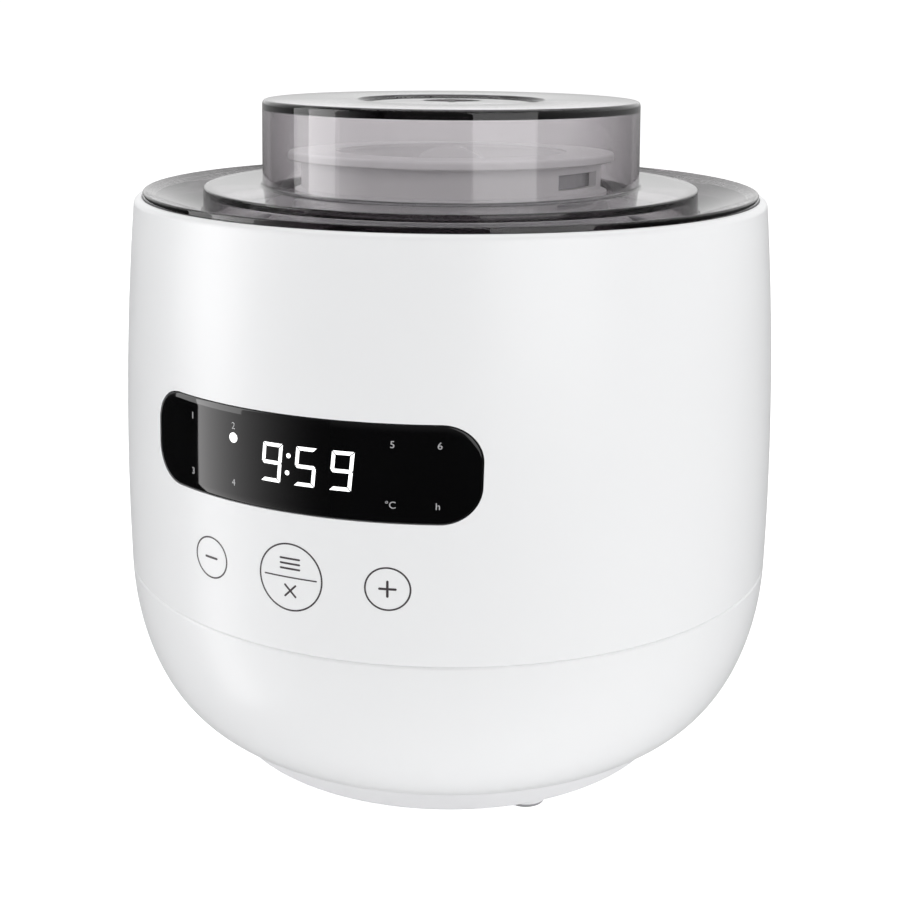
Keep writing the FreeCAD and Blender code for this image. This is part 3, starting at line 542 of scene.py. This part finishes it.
node_finishes = {
    "upper_shell": shell_white, "lower_shell": shell_white, "base_cover": matt_base(),
    "well_support": black_part, "rubber_feet": grey_rubber(),
    "inner_deck": plain_plastic("deck_grey", (0.78, 0.775, 0.78), 0.45),
    "heating_well": bright_metal("drawn_aluminium", (0.78, 0.78, 0.80), 0.35),
    "well_gasket": frosted_plastic("silicone_gasket", (0.80, 0.80, 0.81), 0.5, 0.3),
    "heater_plate": mica_plate(), "heater_clamp": steel, "thermal_fuse": steel, "ntc_sensor": steel,
    "heater_band": plain_plastic("red_silicone", (0.42, 0.05, 0.03), 0.6),
    "insulation_sleeve": needle_felt(), "base_screws": steel, "seam_screws": steel,
    "display_screws": steel, "board_screws": steel, "display_frame": black_part,
    "display_window": black_window(), "display_board": solder_mask(), "control_board": solder_mask(),
    "digit_module": plain_plastic("digit_module", (0.75, 0.75, 0.75)),
    "status_leds": plain_plastic("led_bodies", (0.85, 0.85, 0.82), 0.3),
    "touch_contacts": grey_rubber(), "transformer": plain_plastic("varnished_iron", (0.06, 0.05, 0.05)),
    "relay": plain_plastic("relay_blue", (0.03, 0.08, 0.30)), "capacitors": black_part,
    "board_connectors": plain_plastic("nylon", (0.76, 0.72, 0.62), 0.45), "power_inlet": black_part,
    "inlet_pins": bright_metal("plated_brass", (0.80, 0.66, 0.42), 0.25),
    "mains_leads": wire_white, "heater_leads": wire_white, "display_leads": wire_white,
    "jar": frosted_plastic("jar_plastic", (0.86, 0.86, 0.88), 0.22, 0.75),
    "strainer": frosted_plastic("strainer_plastic", (0.85, 0.85, 0.86), 0.4, 0.35),
    "lid_seal": frosted_plastic("seal_silicone", (0.78, 0.78, 0.79), 0.5, 0.3),
    "pot_lid": frosted_plastic("lid_plastic", (0.93, 0.925, 0.93), 0.35, 0.35),
    "cover": smoky_cover(),
}
for node_name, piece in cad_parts.items():
    wear(piece, node_finishes[node_name])
print("finishes:", len(bpy.data.materials), "for", len(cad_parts), "nodes")

# %% [markdown]
# ## The shells as surfaces of revolution
# The upper shell's section runs up the barrel arc, over the rim, down to the deck ledge and back
# inside to the tongue. The bowl below is a quarter ellipse: r = c + a cos t, z = seam - b sin t,
# and its inner face is the same curve moved in by the wall along the normal.

# %% Openings
def rounded_slab(name, centre, half_wide, half_tall, corner, near, far):
    """A cutter: a rounded rectangle in X and Z, drawn from y = near to y = far."""
    turn = np.arange(17) * np.pi / 32
    corner_run = np.stack([np.cos(turn), np.sin(turn)], axis=1) * corner
    inner = np.array([half_wide - corner, half_tall - corner])
    quarters = []
    for flip in ((1, 1), (-1, 1), (-1, -1), (1, -1)):
        quarter = (inner + corner_run) * flip
        quarters.append(quarter if flip[0] * flip[1] > 0 else quarter[::-1])
    loop = np.concatenate(quarters) + np.array(centre)
    count = len(loop)
    places = np.concatenate([np.stack([loop[:, 0], np.full(count, y), loop[:, 1]], axis=1)
                             for y in (near, far)])
    walk = np.arange(count)
    faces = np.stack([walk, np.roll(walk, -1), np.roll(walk, -1) + count, walk + count], axis=1).tolist()
    faces += [walk[::-1].tolist(), (walk + count).tolist()]
    return new_piece(name, places, faces)


def cut_opening(piece, cutter, smooth_angle=30):
    """Takes the cutter out of a piece, keeps the result as its mesh and removes the cutter."""
    tool = piece.modifiers.new("opening", "BOOLEAN")
    tool.operation = "DIFFERENCE"
    tool.solver = "EXACT"
    tool.object = cutter
    bpy.context.view_layer.update()
    drawn = piece.evaluated_get(bpy.context.evaluated_depsgraph_get())
    piece.data = bpy.data.meshes.new_from_object(drawn)
    piece.modifiers.clear()
    bpy.data.objects.remove(cutter)
    piece.data.set_sharp_from_angle(angle=math.radians(smooth_angle))


print("inlet opening centred", round(INLET_Z / MM, 1), "mm up")


# %% Upper shell
LEDGE_REACH = 0.3 * MM
TONGUE_THICK = 0.95 * MM
SHELL_EDGE = 0.18 * MM


def upper_shell_section():
    """Half section of the upper shell, counter-clockwise from the foot of the barrel."""
    inner = BODY_R - WALL
    return section([
        (BODY_R - SEAM_BEVEL, SEAM), (BODY_R, SEAM + SEAM_BEVEL),
        (RIM_R, RIM_TOP - RIM_ROUND, BARREL_R, 1),
        (RIM_R - RIM_ROUND, RIM_TOP, RIM_ROUND, 1),
        (RIM_BORE, RIM_TOP), (RIM_BORE, LEDGE), (RIM_BORE - LEDGE_WIDE, LEDGE),
        (RIM_BORE - LEDGE_WIDE, LEDGE - WALL), (RIM_BORE + LEDGE_REACH, LEDGE - WALL),
        (inner, SEAM, BARREL_R, -1), (inner, SEAM - TONGUE),
        (inner + TONGUE_THICK, SEAM - TONGUE), (inner + TONGUE_THICK, SEAM),
    ], round_by=SHELL_EDGE, arc_steps=20)


upper_shell = revolve("white_upper_shell", upper_shell_section(), steps=384)
PANEL_GAP = 0.12 * MM
cut_opening(upper_shell, rounded_slab("panel_cutter", (0, PANEL_MID), PANEL_HALF + PANEL_GAP,
                                      (PANEL_HIGH - PANEL_LOW) / 2 + PANEL_GAP, PANEL_CORNER,
                                      -1.2 * BODY_R, 0))
wear(upper_shell, shell_white)
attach(upper_shell, "housing")
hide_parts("upper_shell")
print("upper shell:", len(upper_shell.data.polygons), "faces")


# %% Bowl
REBATE = 1.05 * MM
OUTER_START = 0.012
INNER_START = 0.047


def bowl_curve(inset, start):
    """The quarter ellipse moved in by inset, from the angle start down to the base."""
    turn = np.linspace(start, math.pi / 2, 61)
    side = BODY_R - BOWL_CENTRE
    normal = np.stack([np.cos(turn) * BOWL_DEEP, -np.sin(turn) * side], axis=1)
    normal /= np.hypot(normal[:, 0], normal[:, 1])[:, None]
    curve = np.stack([BOWL_CENTRE + side * np.cos(turn), SEAM - BOWL_DEEP * np.sin(turn)], axis=1)
    return curve - inset * normal


def bowl_section():
    """Outer curve from the base up to the seam, the rebate, and the inner curve back down."""
    rebate = BODY_R - WALL + REBATE
    outer = [tuple(place) for place in bowl_curve(0, OUTER_START)[::-1]]
    inner = [tuple(place) for place in bowl_curve(WALL, INNER_START)]
    return section(outer + [(BODY_R - SEAM_BEVEL, SEAM), (rebate, SEAM), (rebate, inner[0][1])] + inner
                   + [(BASE_BORE, SEAM - BOWL_DEEP + WALL), (BASE_BORE, SEAM - BOWL_DEEP)],
                   round_by=SHELL_EDGE)


lower_shell = revolve("white_lower_shell", bowl_section(), steps=384)
INLET_HALF_WIDE = 12.1 * MM
INLET_HALF_TALL = 7.1 * MM
INLET_CORNER = 2 * MM
cut_opening(lower_shell, rounded_slab("inlet_cutter", (0, INLET_Z), INLET_HALF_WIDE, INLET_HALF_TALL,
                                      INLET_CORNER, 0, 1.2 * BODY_R))
wear(lower_shell, shell_white)
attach(lower_shell, "housing")
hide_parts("lower_shell")
print("bowl:", len(lower_shell.data.polygons), "faces")

# %% [markdown]
# ## The smoky cover
# One clear moulding: a top cylinder with a shallow recess and its gate mark, a raised step, and
# a dished flange that rests on the deck inside the rim. The section is drawn once, outside
# then inside, so the wall has real thickness and the light bends through it properly.

# %% Cover
LIP_ROUND = 0.6 * MM
STEP_ROUND = 0.5 * MM
CROWN_ROUND = 1.2 * MM
CROWN_FILLET = 1.0 * MM
DISH_FILLET = 0.8 * MM
DISH_START = 1.2 * MM
TOP_EXTRA = 0.4 * MM
GATE_R = 1.3 * MM
GATE_FACE_R = 1.0 * MM
GATE_RISE = 0.25 * MM
REST_R = 85.7 * MM


def cover_section():
    """Half section of the cover: up the lip, over the step and crown to the axis, back inside."""
    top_under = COVER_TOP - COVER_WALL - TOP_EXTRA
    recess = COVER_TOP - RECESS_DEEP
    outer_edge = RIM_BORE - COVER_GAP
    return section([
        (outer_edge, COVER_EDGE), (outer_edge, FLANGE_TOP - LIP_ROUND),
        (outer_edge - LIP_ROUND, FLANGE_TOP, LIP_ROUND, 1),
        (STEP_R + DISH_START, DISH),
        (STEP_R + DISH_START - DISH_FILLET, DISH + DISH_FILLET, DISH_FILLET, -1),
        (STEP_R, STEP_TOP - STEP_ROUND), (STEP_R - STEP_ROUND, STEP_TOP, STEP_ROUND, 1),
        (CROWN_FOOT_R + CROWN_FILLET, STEP_TOP),
        (CROWN_FOOT_R, STEP_TOP + CROWN_FILLET, CROWN_FILLET, -1),
        (CROWN_R, COVER_TOP - CROWN_ROUND), (CROWN_R - CROWN_ROUND, COVER_TOP, CROWN_ROUND, 1),
        (RECESS_R, COVER_TOP), (RECESS_R - RECESS_DEEP, recess),
        (GATE_R, recess), (GATE_FACE_R, recess + GATE_RISE), (0, recess + GATE_RISE),
        (0, top_under), (CROWN_R - COVER_WALL, top_under),
        (CROWN_FOOT_R - COVER_WALL, STEP_TOP - COVER_WALL),
        (STEP_R - COVER_WALL, STEP_TOP - COVER_WALL),
        (STEP_R - COVER_WALL, DISH - COVER_WALL + DISH_FILLET),
        (STEP_R - DISH_START, DISH - COVER_WALL), (REST_R, COVER_EDGE),
    ], round_by=0.3 * MM)


cover = revolve("smoky_cover_shell", cover_section(), steps=384)
wear(cover, node_finishes["cover"])
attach(cover, "cover")
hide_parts("cover")
cover.visible_shadow = False
print("cover:", len(cover.data.polygons), "faces")

# %% [markdown]
# ## Printing on a curved shell
# Every mark on the front is a thin closed strip between two edges, wrapped round the barrel. One
# function takes the two edges as flat places (across, height) and returns a raised strip.

# %% Raised strips
PRINT_LIFT = 0.04 * MM
PRINT_SUNK = -0.05 * MM
CAP_START = 0.05


def strip(edge_a, edge_b, base, lift, closed=False):
    """A thin slab between two flat edges, wrapped on the shell: (places, faces).

    Each station has four corners, a and b raised by lift and the same two at base.
    """
    count = len(edge_a)
    corners = [on_barrel(edge[:, 0], edge[:, 1], -height)
               for edge, height in ((edge_a, lift), (edge_b, lift), (edge_b, base), (edge_a, base))]
    places = np.stack(corners, axis=1).reshape(-1, 3)
    index = np.arange(count * 4).reshape(count, 4)
    here, there = (index, np.roll(index, -1, axis=0)) if closed else (index[:-1], index[1:])
    sides = np.stack([here, there, np.roll(there, -1, axis=1), np.roll(here, -1, axis=1)], axis=2)
    faces = sides.reshape(-1, 4).tolist()
    if not closed:
        faces += [index[0].tolist(), index[-1][::-1].tolist()]
    return places, faces


def print_piece(name, strips, material, body="housing"):
    """Joins strips into one mesh with outward faces and puts it on a body."""
    places, faces, start = [], [], 0
    for spots, quads in strips:
        places.append(spots)
        faces += [[corner + start for corner in quad] for quad in quads]
        start += len(spots)
    piece = new_piece(name, np.concatenate(places), faces)
    wear(piece, material)
    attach(piece, body)
    return piece


def ring_mark(across, height, radius, width):
    """A printed circle of a line width: edges at radius plus and minus half of it."""
    turn = np.arange(96) * 2 * np.pi / 96
    way = np.stack([np.cos(turn), np.sin(turn)], axis=1)
    centre = np.array([across, height])
    return strip(centre + (radius + width / 2) * way, centre + (radius - width / 2) * way,
                 PRINT_SUNK, PRINT_LIFT, closed=True)


def stroke_mark(start, end, width, base=PRINT_SUNK, lift=PRINT_LIFT):
    """A line with round ends: half width is sqrt(r^2 - d^2) within r of an end."""
    start, end = np.array(start, float), np.array(end, float)
    radius = width / 2
    length = np.hypot(*(end - start))
    way = (end - start) / length
    side = np.array([-way[1], way[0]])
    cap = radius * np.cos(np.linspace(np.pi - CAP_START, np.pi / 2, 8))
    run = np.concatenate([cap, np.linspace(0, length, 17)[1:-1], length - cap[::-1]])
    past = np.maximum(np.maximum(-run, run - length), 0)
    half = np.sqrt(np.maximum(radius**2 - past**2, 0))
    middle = start + run[:, None] * way
    return strip(middle + half[:, None] * side, middle - half[:, None] * side, base, lift)


print("print stands", PRINT_LIFT / MM, "mm proud of the shell")

# %% Touch fields
BUTTON_Z = sum(corner.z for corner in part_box("touch_contacts")) / 2
BUTTON_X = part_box("touch_contacts")[1].x - (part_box("touch_contacts")[1].z - BUTTON_Z)
LINE = 0.42 * MM
SMALL_RING = 5.55 * MM
MENU_RING = 8.9 * MM
SIGN_HALF = 1.95 * MM
SIGN_LINE = 0.6 * MM
DIVIDER_HALF = 7.4 * MM
DIVIDER_LINE = 0.36 * MM
ICON_LINE = 0.5 * MM
BAR_HALF = 2.7 * MM
BAR_RISE = 2.3 * MM
BAR_STEP = 1.35 * MM
CROSS_HALF = 1.5 * MM
CROSS_DROP = 3.6 * MM

touch_marks = [
    ring_mark(-BUTTON_X, BUTTON_Z, SMALL_RING, LINE),
    ring_mark(BUTTON_X, BUTTON_Z, SMALL_RING, LINE),
    ring_mark(0, BUTTON_Z, MENU_RING, LINE),
    stroke_mark((-BUTTON_X - SIGN_HALF, BUTTON_Z), (-BUTTON_X + SIGN_HALF, BUTTON_Z), SIGN_LINE),
    stroke_mark((BUTTON_X - SIGN_HALF, BUTTON_Z), (BUTTON_X + SIGN_HALF, BUTTON_Z), SIGN_LINE),
    stroke_mark((BUTTON_X, BUTTON_Z - SIGN_HALF), (BUTTON_X, BUTTON_Z + SIGN_HALF), SIGN_LINE),
    stroke_mark((-DIVIDER_HALF, BUTTON_Z), (DIVIDER_HALF, BUTTON_Z), DIVIDER_LINE),
]
for row in range(3):
    level = BUTTON_Z + BAR_RISE + row * BAR_STEP
    touch_marks.append(stroke_mark((-BAR_HALF, level), (BAR_HALF, level), ICON_LINE))
cross_z = BUTTON_Z - CROSS_DROP
for lean in (-CROSS_HALF, CROSS_HALF):
    touch_marks.append(stroke_mark((-lean, cross_z - CROSS_HALF), (lean, cross_z + CROSS_HALF), ICON_LINE))
touch_prints = print_piece("touch_prints", touch_marks, printed_ink("grey_ink", (0.055, 0.045, 0.05)))
print("touch fields at height", round(BUTTON_Z / MM, 1), "mm,", len(touch_marks), "marks")

# %% [markdown]
# ## The window
# A black acrylic plate follows the barrel. Its outline is a rectangle with long corner rounds,
# walked from the left end over the top to the right end and mirrored for the lower half. Rings
# of that outline, each set in and up a little, make the bevel that catches light on the rim.

# %% Window plate
def upper_outline(inset):
    """The top half of the window's outline, left end to right end, set in by inset."""
    half, rise = PANEL_HALF - inset, (PANEL_HIGH - PANEL_LOW) / 2 - inset
    radius = PANEL_CORNER - inset
    turn = np.linspace(0, np.pi / 2, 25)
    circle = np.stack([np.cos(turn), np.sin(turn)], axis=1)
    bend = np.array([half - radius, rise - radius]) + radius * circle
    right = np.concatenate([[[half, 0]], bend])
    top = np.linspace(-(half - radius), half - radius, 79)[1:-1]
    flat = np.stack([top, np.full(len(top), rise)], axis=1)
    left = right * [-1, 1]
    return np.concatenate([left, flat, right[::-1]])


def window_plate():
    """Rings of the outline from the back to the front edge, and a filled face at each end."""
    rings = [(0, 2.2), (0, 0.55), (0.10, 0.30), (0.30, 0.12), (0.55, 0.05)]
    places, faces = [], []
    for inset, depth in rings:
        upper = upper_outline(inset * MM)
        loop = np.concatenate([upper, (upper * [1, -1])[-2:0:-1]])
        places.append(on_barrel(loop[:, 0], PANEL_MID + loop[:, 1], depth * MM))
    size = len(places[0])
    walk = np.arange(size)
    for level in range(len(rings) - 1):
        low, high = level * size + walk, (level + 1) * size + walk
        faces += np.stack([low, np.roll(low, -1), np.roll(high, -1), high], axis=1).tolist()
    start = size * len(rings)
    upper_count = len(upper)
    shares = np.linspace(1, -1, 17)
    for (inset, depth), first in ((rings[0], 0), (rings[-1], size * (len(rings) - 1))):
        upper = upper_outline(inset * MM)
        grid = np.zeros((len(shares), upper_count), int)
        grid[0] = first + np.arange(upper_count)
        grid[-1] = first + (-np.arange(upper_count)) % size
        for row, share in enumerate(shares[1:-1], start=1):
            inner = upper[1:-1]
            places.append(on_barrel(inner[:, 0], PANEL_MID + share * inner[:, 1], depth * MM))
            grid[row, 1:-1] = start + np.arange(len(inner))
            grid[row, 0], grid[row, -1] = grid[0, 0], grid[0, -1]
            start += len(inner)
        quads = np.stack([grid[:-1, :-1], grid[1:, :-1], grid[1:, 1:], grid[:-1, 1:]], axis=2)
        faces += [list(dict.fromkeys(quad)) for quad in quads.reshape(-1, 4).tolist()]
    return np.concatenate(places), [face for face in faces if len(face) > 2]


window_places, window_faces = window_plate()
window = print_piece("window_plate", [(window_places, window_faces)], node_finishes["display_window"])
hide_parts("display_window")
print("window plate:", len(window.data.polygons), "faces")

# %% [markdown]
# ## The display
# Digits are seven bars each, mitred where they meet and leaning a little to the right. A bar is
# a strip between an outer edge and a shorter inner edge; the middle bar tapers at both ends.

# %% Digits and dots
DIGIT_LOW = 103.5 * MM
DIGIT_HIGH = 113.5 * MM
DIGIT_WIDE = 5.75 * MM
DIGIT_BAR = 0.95 * MM
DIGIT_LEAN = 0.085
DIGIT_FIRST = -8.45 * MM
DIGIT_PITCH = 9.6 * MM
BAR_GAP = 0.17 * MM
GLOW_LIFT = -0.015 * MM
GLOW_SUNK = -0.1 * MM
COLON_DOTS = [(-0.25 * MM, 110.8 * MM), (-0.65 * MM, 106.4 * MM)]
COLON_R = 0.62 * MM
STATUS_DOT = (-17.2 * MM, 112.9 * MM)
STATUS_R = 1.3 * MM
LIT = {9: "abcdfg", 5: "acdfg"}


def digit_bars(value, left):
    """The lit bars of one digit as strips, in a box leaning by DIGIT_LEAN."""
    wide, tall, bar, gap = DIGIT_WIDE, DIGIT_HIGH - DIGIT_LOW, DIGIT_BAR, BAR_GAP
    half = tall / 2
    bars = {
        "a": ((gap, tall), (wide - gap, tall), (bar + gap, tall - bar), (wide - bar - gap, tall - bar)),
        "d": ((gap, 0), (wide - gap, 0), (bar + gap, bar), (wide - bar - gap, bar)),
        "f": ((0, half + gap), (0, tall - gap), (bar, half + bar / 2 + gap), (bar, tall - bar - gap)),
        "e": ((0, half - gap), (0, gap), (bar, half - bar / 2 - gap), (bar, bar + gap)),
        "b": ((wide, half + gap), (wide, tall - gap), (wide - bar, half + bar / 2 + gap),
              (wide - bar, tall - bar - gap)),
        "c": ((wide, half - gap), (wide, gap), (wide - bar, half - bar / 2 - gap),
              (wide - bar, bar + gap)),
    }
    strips = []
    share = np.linspace(0, 1, 7)[:, None]
    for key in LIT[value]:
        if key == "g":
            run = np.array([gap, gap + bar / 2, wide / 2, wide - bar / 2 - gap, wide - gap])
            rise = np.array([0.02 * bar, bar / 2, bar / 2, bar / 2, 0.02 * bar])
            outer = np.stack([run, half + rise], axis=1)
            inner = np.stack([run, half - rise], axis=1)
        else:
            a, b, c, d = (np.array(corner) for corner in bars[key])
            outer, inner = a + (b - a) * share, c + (d - c) * share
        for edge in (outer, inner):
            edge[:, 0] += left + DIGIT_LEAN * edge[:, 1]
            edge[:, 1] += DIGIT_LOW
        strips.append(strip(outer, inner, GLOW_SUNK, GLOW_LIFT))
    return strips


def dot_mark(across, height, radius):
    """A round dot: a stroke with almost no length."""
    return stroke_mark((across - 0.001 * MM, height), (across + 0.001 * MM, height), 2 * radius,
                       base=GLOW_SUNK, lift=GLOW_LIFT)


shown = []
for place, value in enumerate((9, 5, 9)):
    shown += digit_bars(value, DIGIT_FIRST + place * DIGIT_PITCH)
shown += [dot_mark(*dot, COLON_R) for dot in COLON_DOTS]
shown.append(dot_mark(*STATUS_DOT, STATUS_R))
digits = print_piece("lit_digits", shown, lit_diffuser("lit_digits", 0.9))
print("display shows", len(shown), "lit marks")

# %% [markdown]
# ## Small numerals
# Six programmes are numbered, and the two lower marks on the right are the units of the
# settings. Each is set as flat text, made a mesh, and only then wrapped on the window.

# %% Numerals
LABEL_TALL = 2.5 * MM
LABEL_SUNK = 0.03 * MM
LABEL_THICK = 0.02 * MM
HALF_CAPITAL = 0.35 * LABEL_TALL


def wrapped_text(name, words, across, height):
    """Text made a thin mesh, then wrapped: flat x runs round the shell, y goes up."""
    curve = bpy.data.curves.new(name, "FONT")
    curve.body = words
    curve.size = LABEL_TALL
    curve.extrude = LABEL_THICK
    curve.align_x = "CENTER"
    holder = bpy.data.objects.new(name, curve)
    bpy.context.scene.collection.objects.link(holder)
    bpy.context.view_layer.update()
    mesh = bpy.data.meshes.new_from_object(holder.evaluated_get(bpy.context.evaluated_depsgraph_get()))
    bpy.data.objects.remove(holder)
    flat = np.zeros(len(mesh.vertices) * 3)
    mesh.vertices.foreach_get("co", flat)
    flat = flat.reshape(-1, 3)
    faces = [list(polygon.vertices) for polygon in mesh.polygons]
    bpy.data.meshes.remove(mesh)
    places = on_barrel(across + flat[:, 0], height + flat[:, 1] - HALF_CAPITAL, LABEL_SUNK - flat[:, 2])
    return places, faces


labels = [("1", -32, 116), ("2", -17.2, 116), ("3", -32, 101.3), ("4", -17.2, 101.3),
          ("5", 26.4, 116), ("6", 37.3, 116), ("°C", 26.2, 100.9), ("h", 37.2, 100.9)]
label_meshes = [wrapped_text(words, words, x * MM, z * MM) for words, x, z in labels]
numerals = print_piece("window_numerals", label_meshes, printed_ink("pale_ink", (0.42, 0.42, 0.43)))
print("numerals:", len(labels))

# %% [markdown]
# ## Floor, lights and world
# A pale floor, a large soft light above, and one on each side. The camera sees a white
# surround, while reflections see a darker room, which gives the clear cover its dark edges.

# %% Studio
FLOOR_REACH = 4.0
FLOOR_AS_LIGHT = 0.36
FLOOR_SEEN = 0.75


def plain_floor():
    """A wide pale sheet under the object, brighter to the eye than as a lamp."""
    floor_mesh = bpy.data.meshes.new("floor")
    corners = [(-1, -1), (1, -1), (1, 1), (-1, 1)]
    floor_mesh.from_pydata([(x * FLOOR_REACH, y * FLOOR_REACH, 0) for x, y in corners],
                           [], [(0, 1, 2, 3)])
    floor = bpy.data.objects.new("floor", floor_mesh)
    bpy.context.scene.collection.objects.link(floor)
    material = finish("floor_paper", (0.93, 0.93, 0.93), (0.95, 0.95, 0.95), 0.9, grain_height=0.0)
    shader = material.node_tree.nodes["Principled BSDF"]
    shader.inputs["Emission Color"].default_value = (1, 1, 1, 1)
    shader.inputs["Specular IOR Level"].default_value = 0
    tree = material.node_tree
    path = node(tree, "ShaderNodeLightPath", (-800, -500))
    looking = node(tree, "ShaderNodeMath", (-600, -500), operation="MAXIMUM")
    tree.links.new(path.outputs["Is Camera Ray"], looking.inputs[0])
    tree.links.new(path.outputs["Is Transmission Ray"], looking.inputs[1])
    level = scaled(tree, looking.outputs[0], 0, 1, FLOOR_AS_LIGHT, FLOOR_SEEN, (-400, -500))
    tree.links.new(level, shader.inputs["Emission Strength"])
    wear(floor, material)
    floor.visible_glossy = False


def soft_light(name, place, aim, wide, tall, power):
    """A rectangular soft light at place, turned to face aim."""
    lamp = bpy.data.lights.new(name, "AREA")
    lamp.shape = "RECTANGLE"
    lamp.size = wide
    lamp.size_y = tall
    lamp.energy = power
    holder = bpy.data.objects.new(name, lamp)
    bpy.context.scene.collection.objects.link(holder)
    place = Vector(place)
    holder.matrix_world = (Matrix.Translation(place)
                           @ (Vector(aim) - place).to_track_quat("-Z", "Y").to_matrix().to_4x4())


FRONT_LEVEL = 0.24
REAR_IN_REFLECTIONS = 1.6
REAR_AS_LIGHT = 0.9
REAR_START, REAR_FULL = -0.5, 0.6
SKY_START, SKY_FULL = -0.12, 0.10
GROUND_LEVEL = 0.02


def studio_world(seen, room):
    """White where the camera looks past the object. Everything else sees a room that is bright
    above and behind the object, and dark below the horizon and behind the camera. The backdrop
    is weaker as light on matt faces than it is in reflections, so the rear keeps its shading."""
    world = bpy.data.worlds.new("studio")
    world.use_nodes = True
    tree = world.node_tree
    background = tree.nodes["Background"]
    background.inputs["Color"].default_value = (1, 1, 1, 1)
    place = node(tree, "ShaderNodeTexCoord", (-1200, 0))
    split = node(tree, "ShaderNodeSeparateXYZ", (-1000, 0))
    tree.links.new(place.outputs["Generated"], split.inputs["Vector"])
    above = scaled(tree, split.outputs["Z"], SKY_START, SKY_FULL, GROUND_LEVEL, 1, (-800, 150))
    path = node(tree, "ShaderNodeLightPath", (-1000, 400))
    backdrop = node(tree, "ShaderNodeMix", (-750, -150), data_type="FLOAT")
    for label, rear, drop in (("A", REAR_IN_REFLECTIONS, -150), ("B", REAR_AS_LIGHT, -400)):
        depth = scaled(tree, split.outputs["Y"], REAR_START, REAR_FULL, FRONT_LEVEL, rear, (-950, drop))
        tree.links.new(depth, backdrop.inputs[label])
    tree.links.new(path.outputs["Is Diffuse Ray"], backdrop.inputs["Factor"])
    both = node(tree, "ShaderNodeMath", (-600, 0), operation="MULTIPLY")
    tree.links.new(above, both.inputs[0])
    tree.links.new(backdrop.outputs["Result"], both.inputs[1])
    dimmed = node(tree, "ShaderNodeMath", (-400, 0), operation="MULTIPLY")
    dimmed.inputs[1].default_value = room
    tree.links.new(both.outputs[0], dimmed.inputs[0])
    looking = node(tree, "ShaderNodeMath", (-500, 350), operation="MAXIMUM")
    tree.links.new(path.outputs["Is Camera Ray"], looking.inputs[0])
    tree.links.new(path.outputs["Is Transmission Ray"], looking.inputs[1])
    level = node(tree, "ShaderNodeMix", (-200, 0), data_type="FLOAT")
    level.inputs["B"].default_value = seen
    tree.links.new(dimmed.outputs[0], level.inputs["A"])
    tree.links.new(looking.outputs[0], level.inputs["Factor"])
    tree.links.new(level.outputs["Result"], background.inputs["Strength"])
    bpy.context.scene.world = world


CARD_START = -67.0
CARD_END = -14.0
CARD_FAR = 1.6
CARD_FOOT = -1.4
CARD_TOP = 0.9
CARD_GLOW = 3.8
CARD_FADE = 2.2


def reflector_card():
    """A tall curved card on the left that the black window mirrors: bright at its left edge and
    fading to the right. Its glow follows the angle atan2(x, -y) round the object."""
    turn = np.radians(np.linspace(CARD_START, CARD_END, 40))
    ring = np.stack([CARD_FAR * np.sin(turn), -CARD_FAR * np.cos(turn)], axis=1)
    places = np.concatenate([np.column_stack([ring, np.full(len(ring), z)]) for z in (CARD_FOOT, CARD_TOP)])
    walk = np.arange(len(ring) - 1)
    count = len(ring)
    faces = np.stack([walk, walk + 1, walk + 1 + count, walk + count], axis=1).tolist()
    card = new_piece("reflector_card", places, faces)
    material = bpy.data.materials.new("card_glow")
    material.use_nodes = True
    tree = material.node_tree
    shader = tree.nodes["Principled BSDF"]
    shader.inputs["Base Color"].default_value = (0, 0, 0, 1)
    shader.inputs["Emission Color"].default_value = (1, 0.985, 0.99, 1)
    place = node(tree, "ShaderNodeTexCoord", (-1000, 0))
    split = node(tree, "ShaderNodeSeparateXYZ", (-800, 0))
    angle = node(tree, "ShaderNodeMath", (-600, 0), operation="ARCTAN2")
    flip = node(tree, "ShaderNodeMath", (-700, -200), operation="MULTIPLY")
    flip.inputs[1].default_value = -1
    tree.links.new(place.outputs["Object"], split.inputs["Vector"])
    tree.links.new(split.outputs["Y"], flip.inputs[0])
    tree.links.new(split.outputs["X"], angle.inputs[0])
    tree.links.new(flip.outputs[0], angle.inputs[1])
    fade = scaled(tree, angle.outputs[0], math.radians(CARD_START), math.radians(CARD_END), 1, 0, (-400, 0))
    curve = node(tree, "ShaderNodeMath", (-200, 0), operation="POWER")
    curve.inputs[1].default_value = CARD_FADE
    glow = node(tree, "ShaderNodeMath", (-50, -200), operation="MULTIPLY")
    glow.inputs[1].default_value = CARD_GLOW
    tree.links.new(fade, curve.inputs[0])
    tree.links.new(curve.outputs[0], glow.inputs[0])
    tree.links.new(glow.outputs[0], shader.inputs["Emission Strength"])
    wear(card, material)
    card.visible_camera = False
    card.visible_diffuse = False
    card.visible_transmission = False
    card.visible_shadow = False


plain_floor()
studio_world(seen=1.05, room=0.68)
reflector_card()
middle = (0, 0, 0.1)
soft_light("overhead", (0, 0.1, 1.2), middle, wide=1.2, tall=1.2, power=5.2)
soft_light("left_side", (-1.2, -0.6, 0.5), middle, wide=0.9, tall=1.2, power=7.5)
soft_light("right_side", (1.1, -0.75, 0.55), middle, wide=1.0, tall=1.2, power=7.3)
bpy.context.scene.view_settings.view_transform = "Standard"
print("lights:", [lamp.name for lamp in bpy.data.lights])
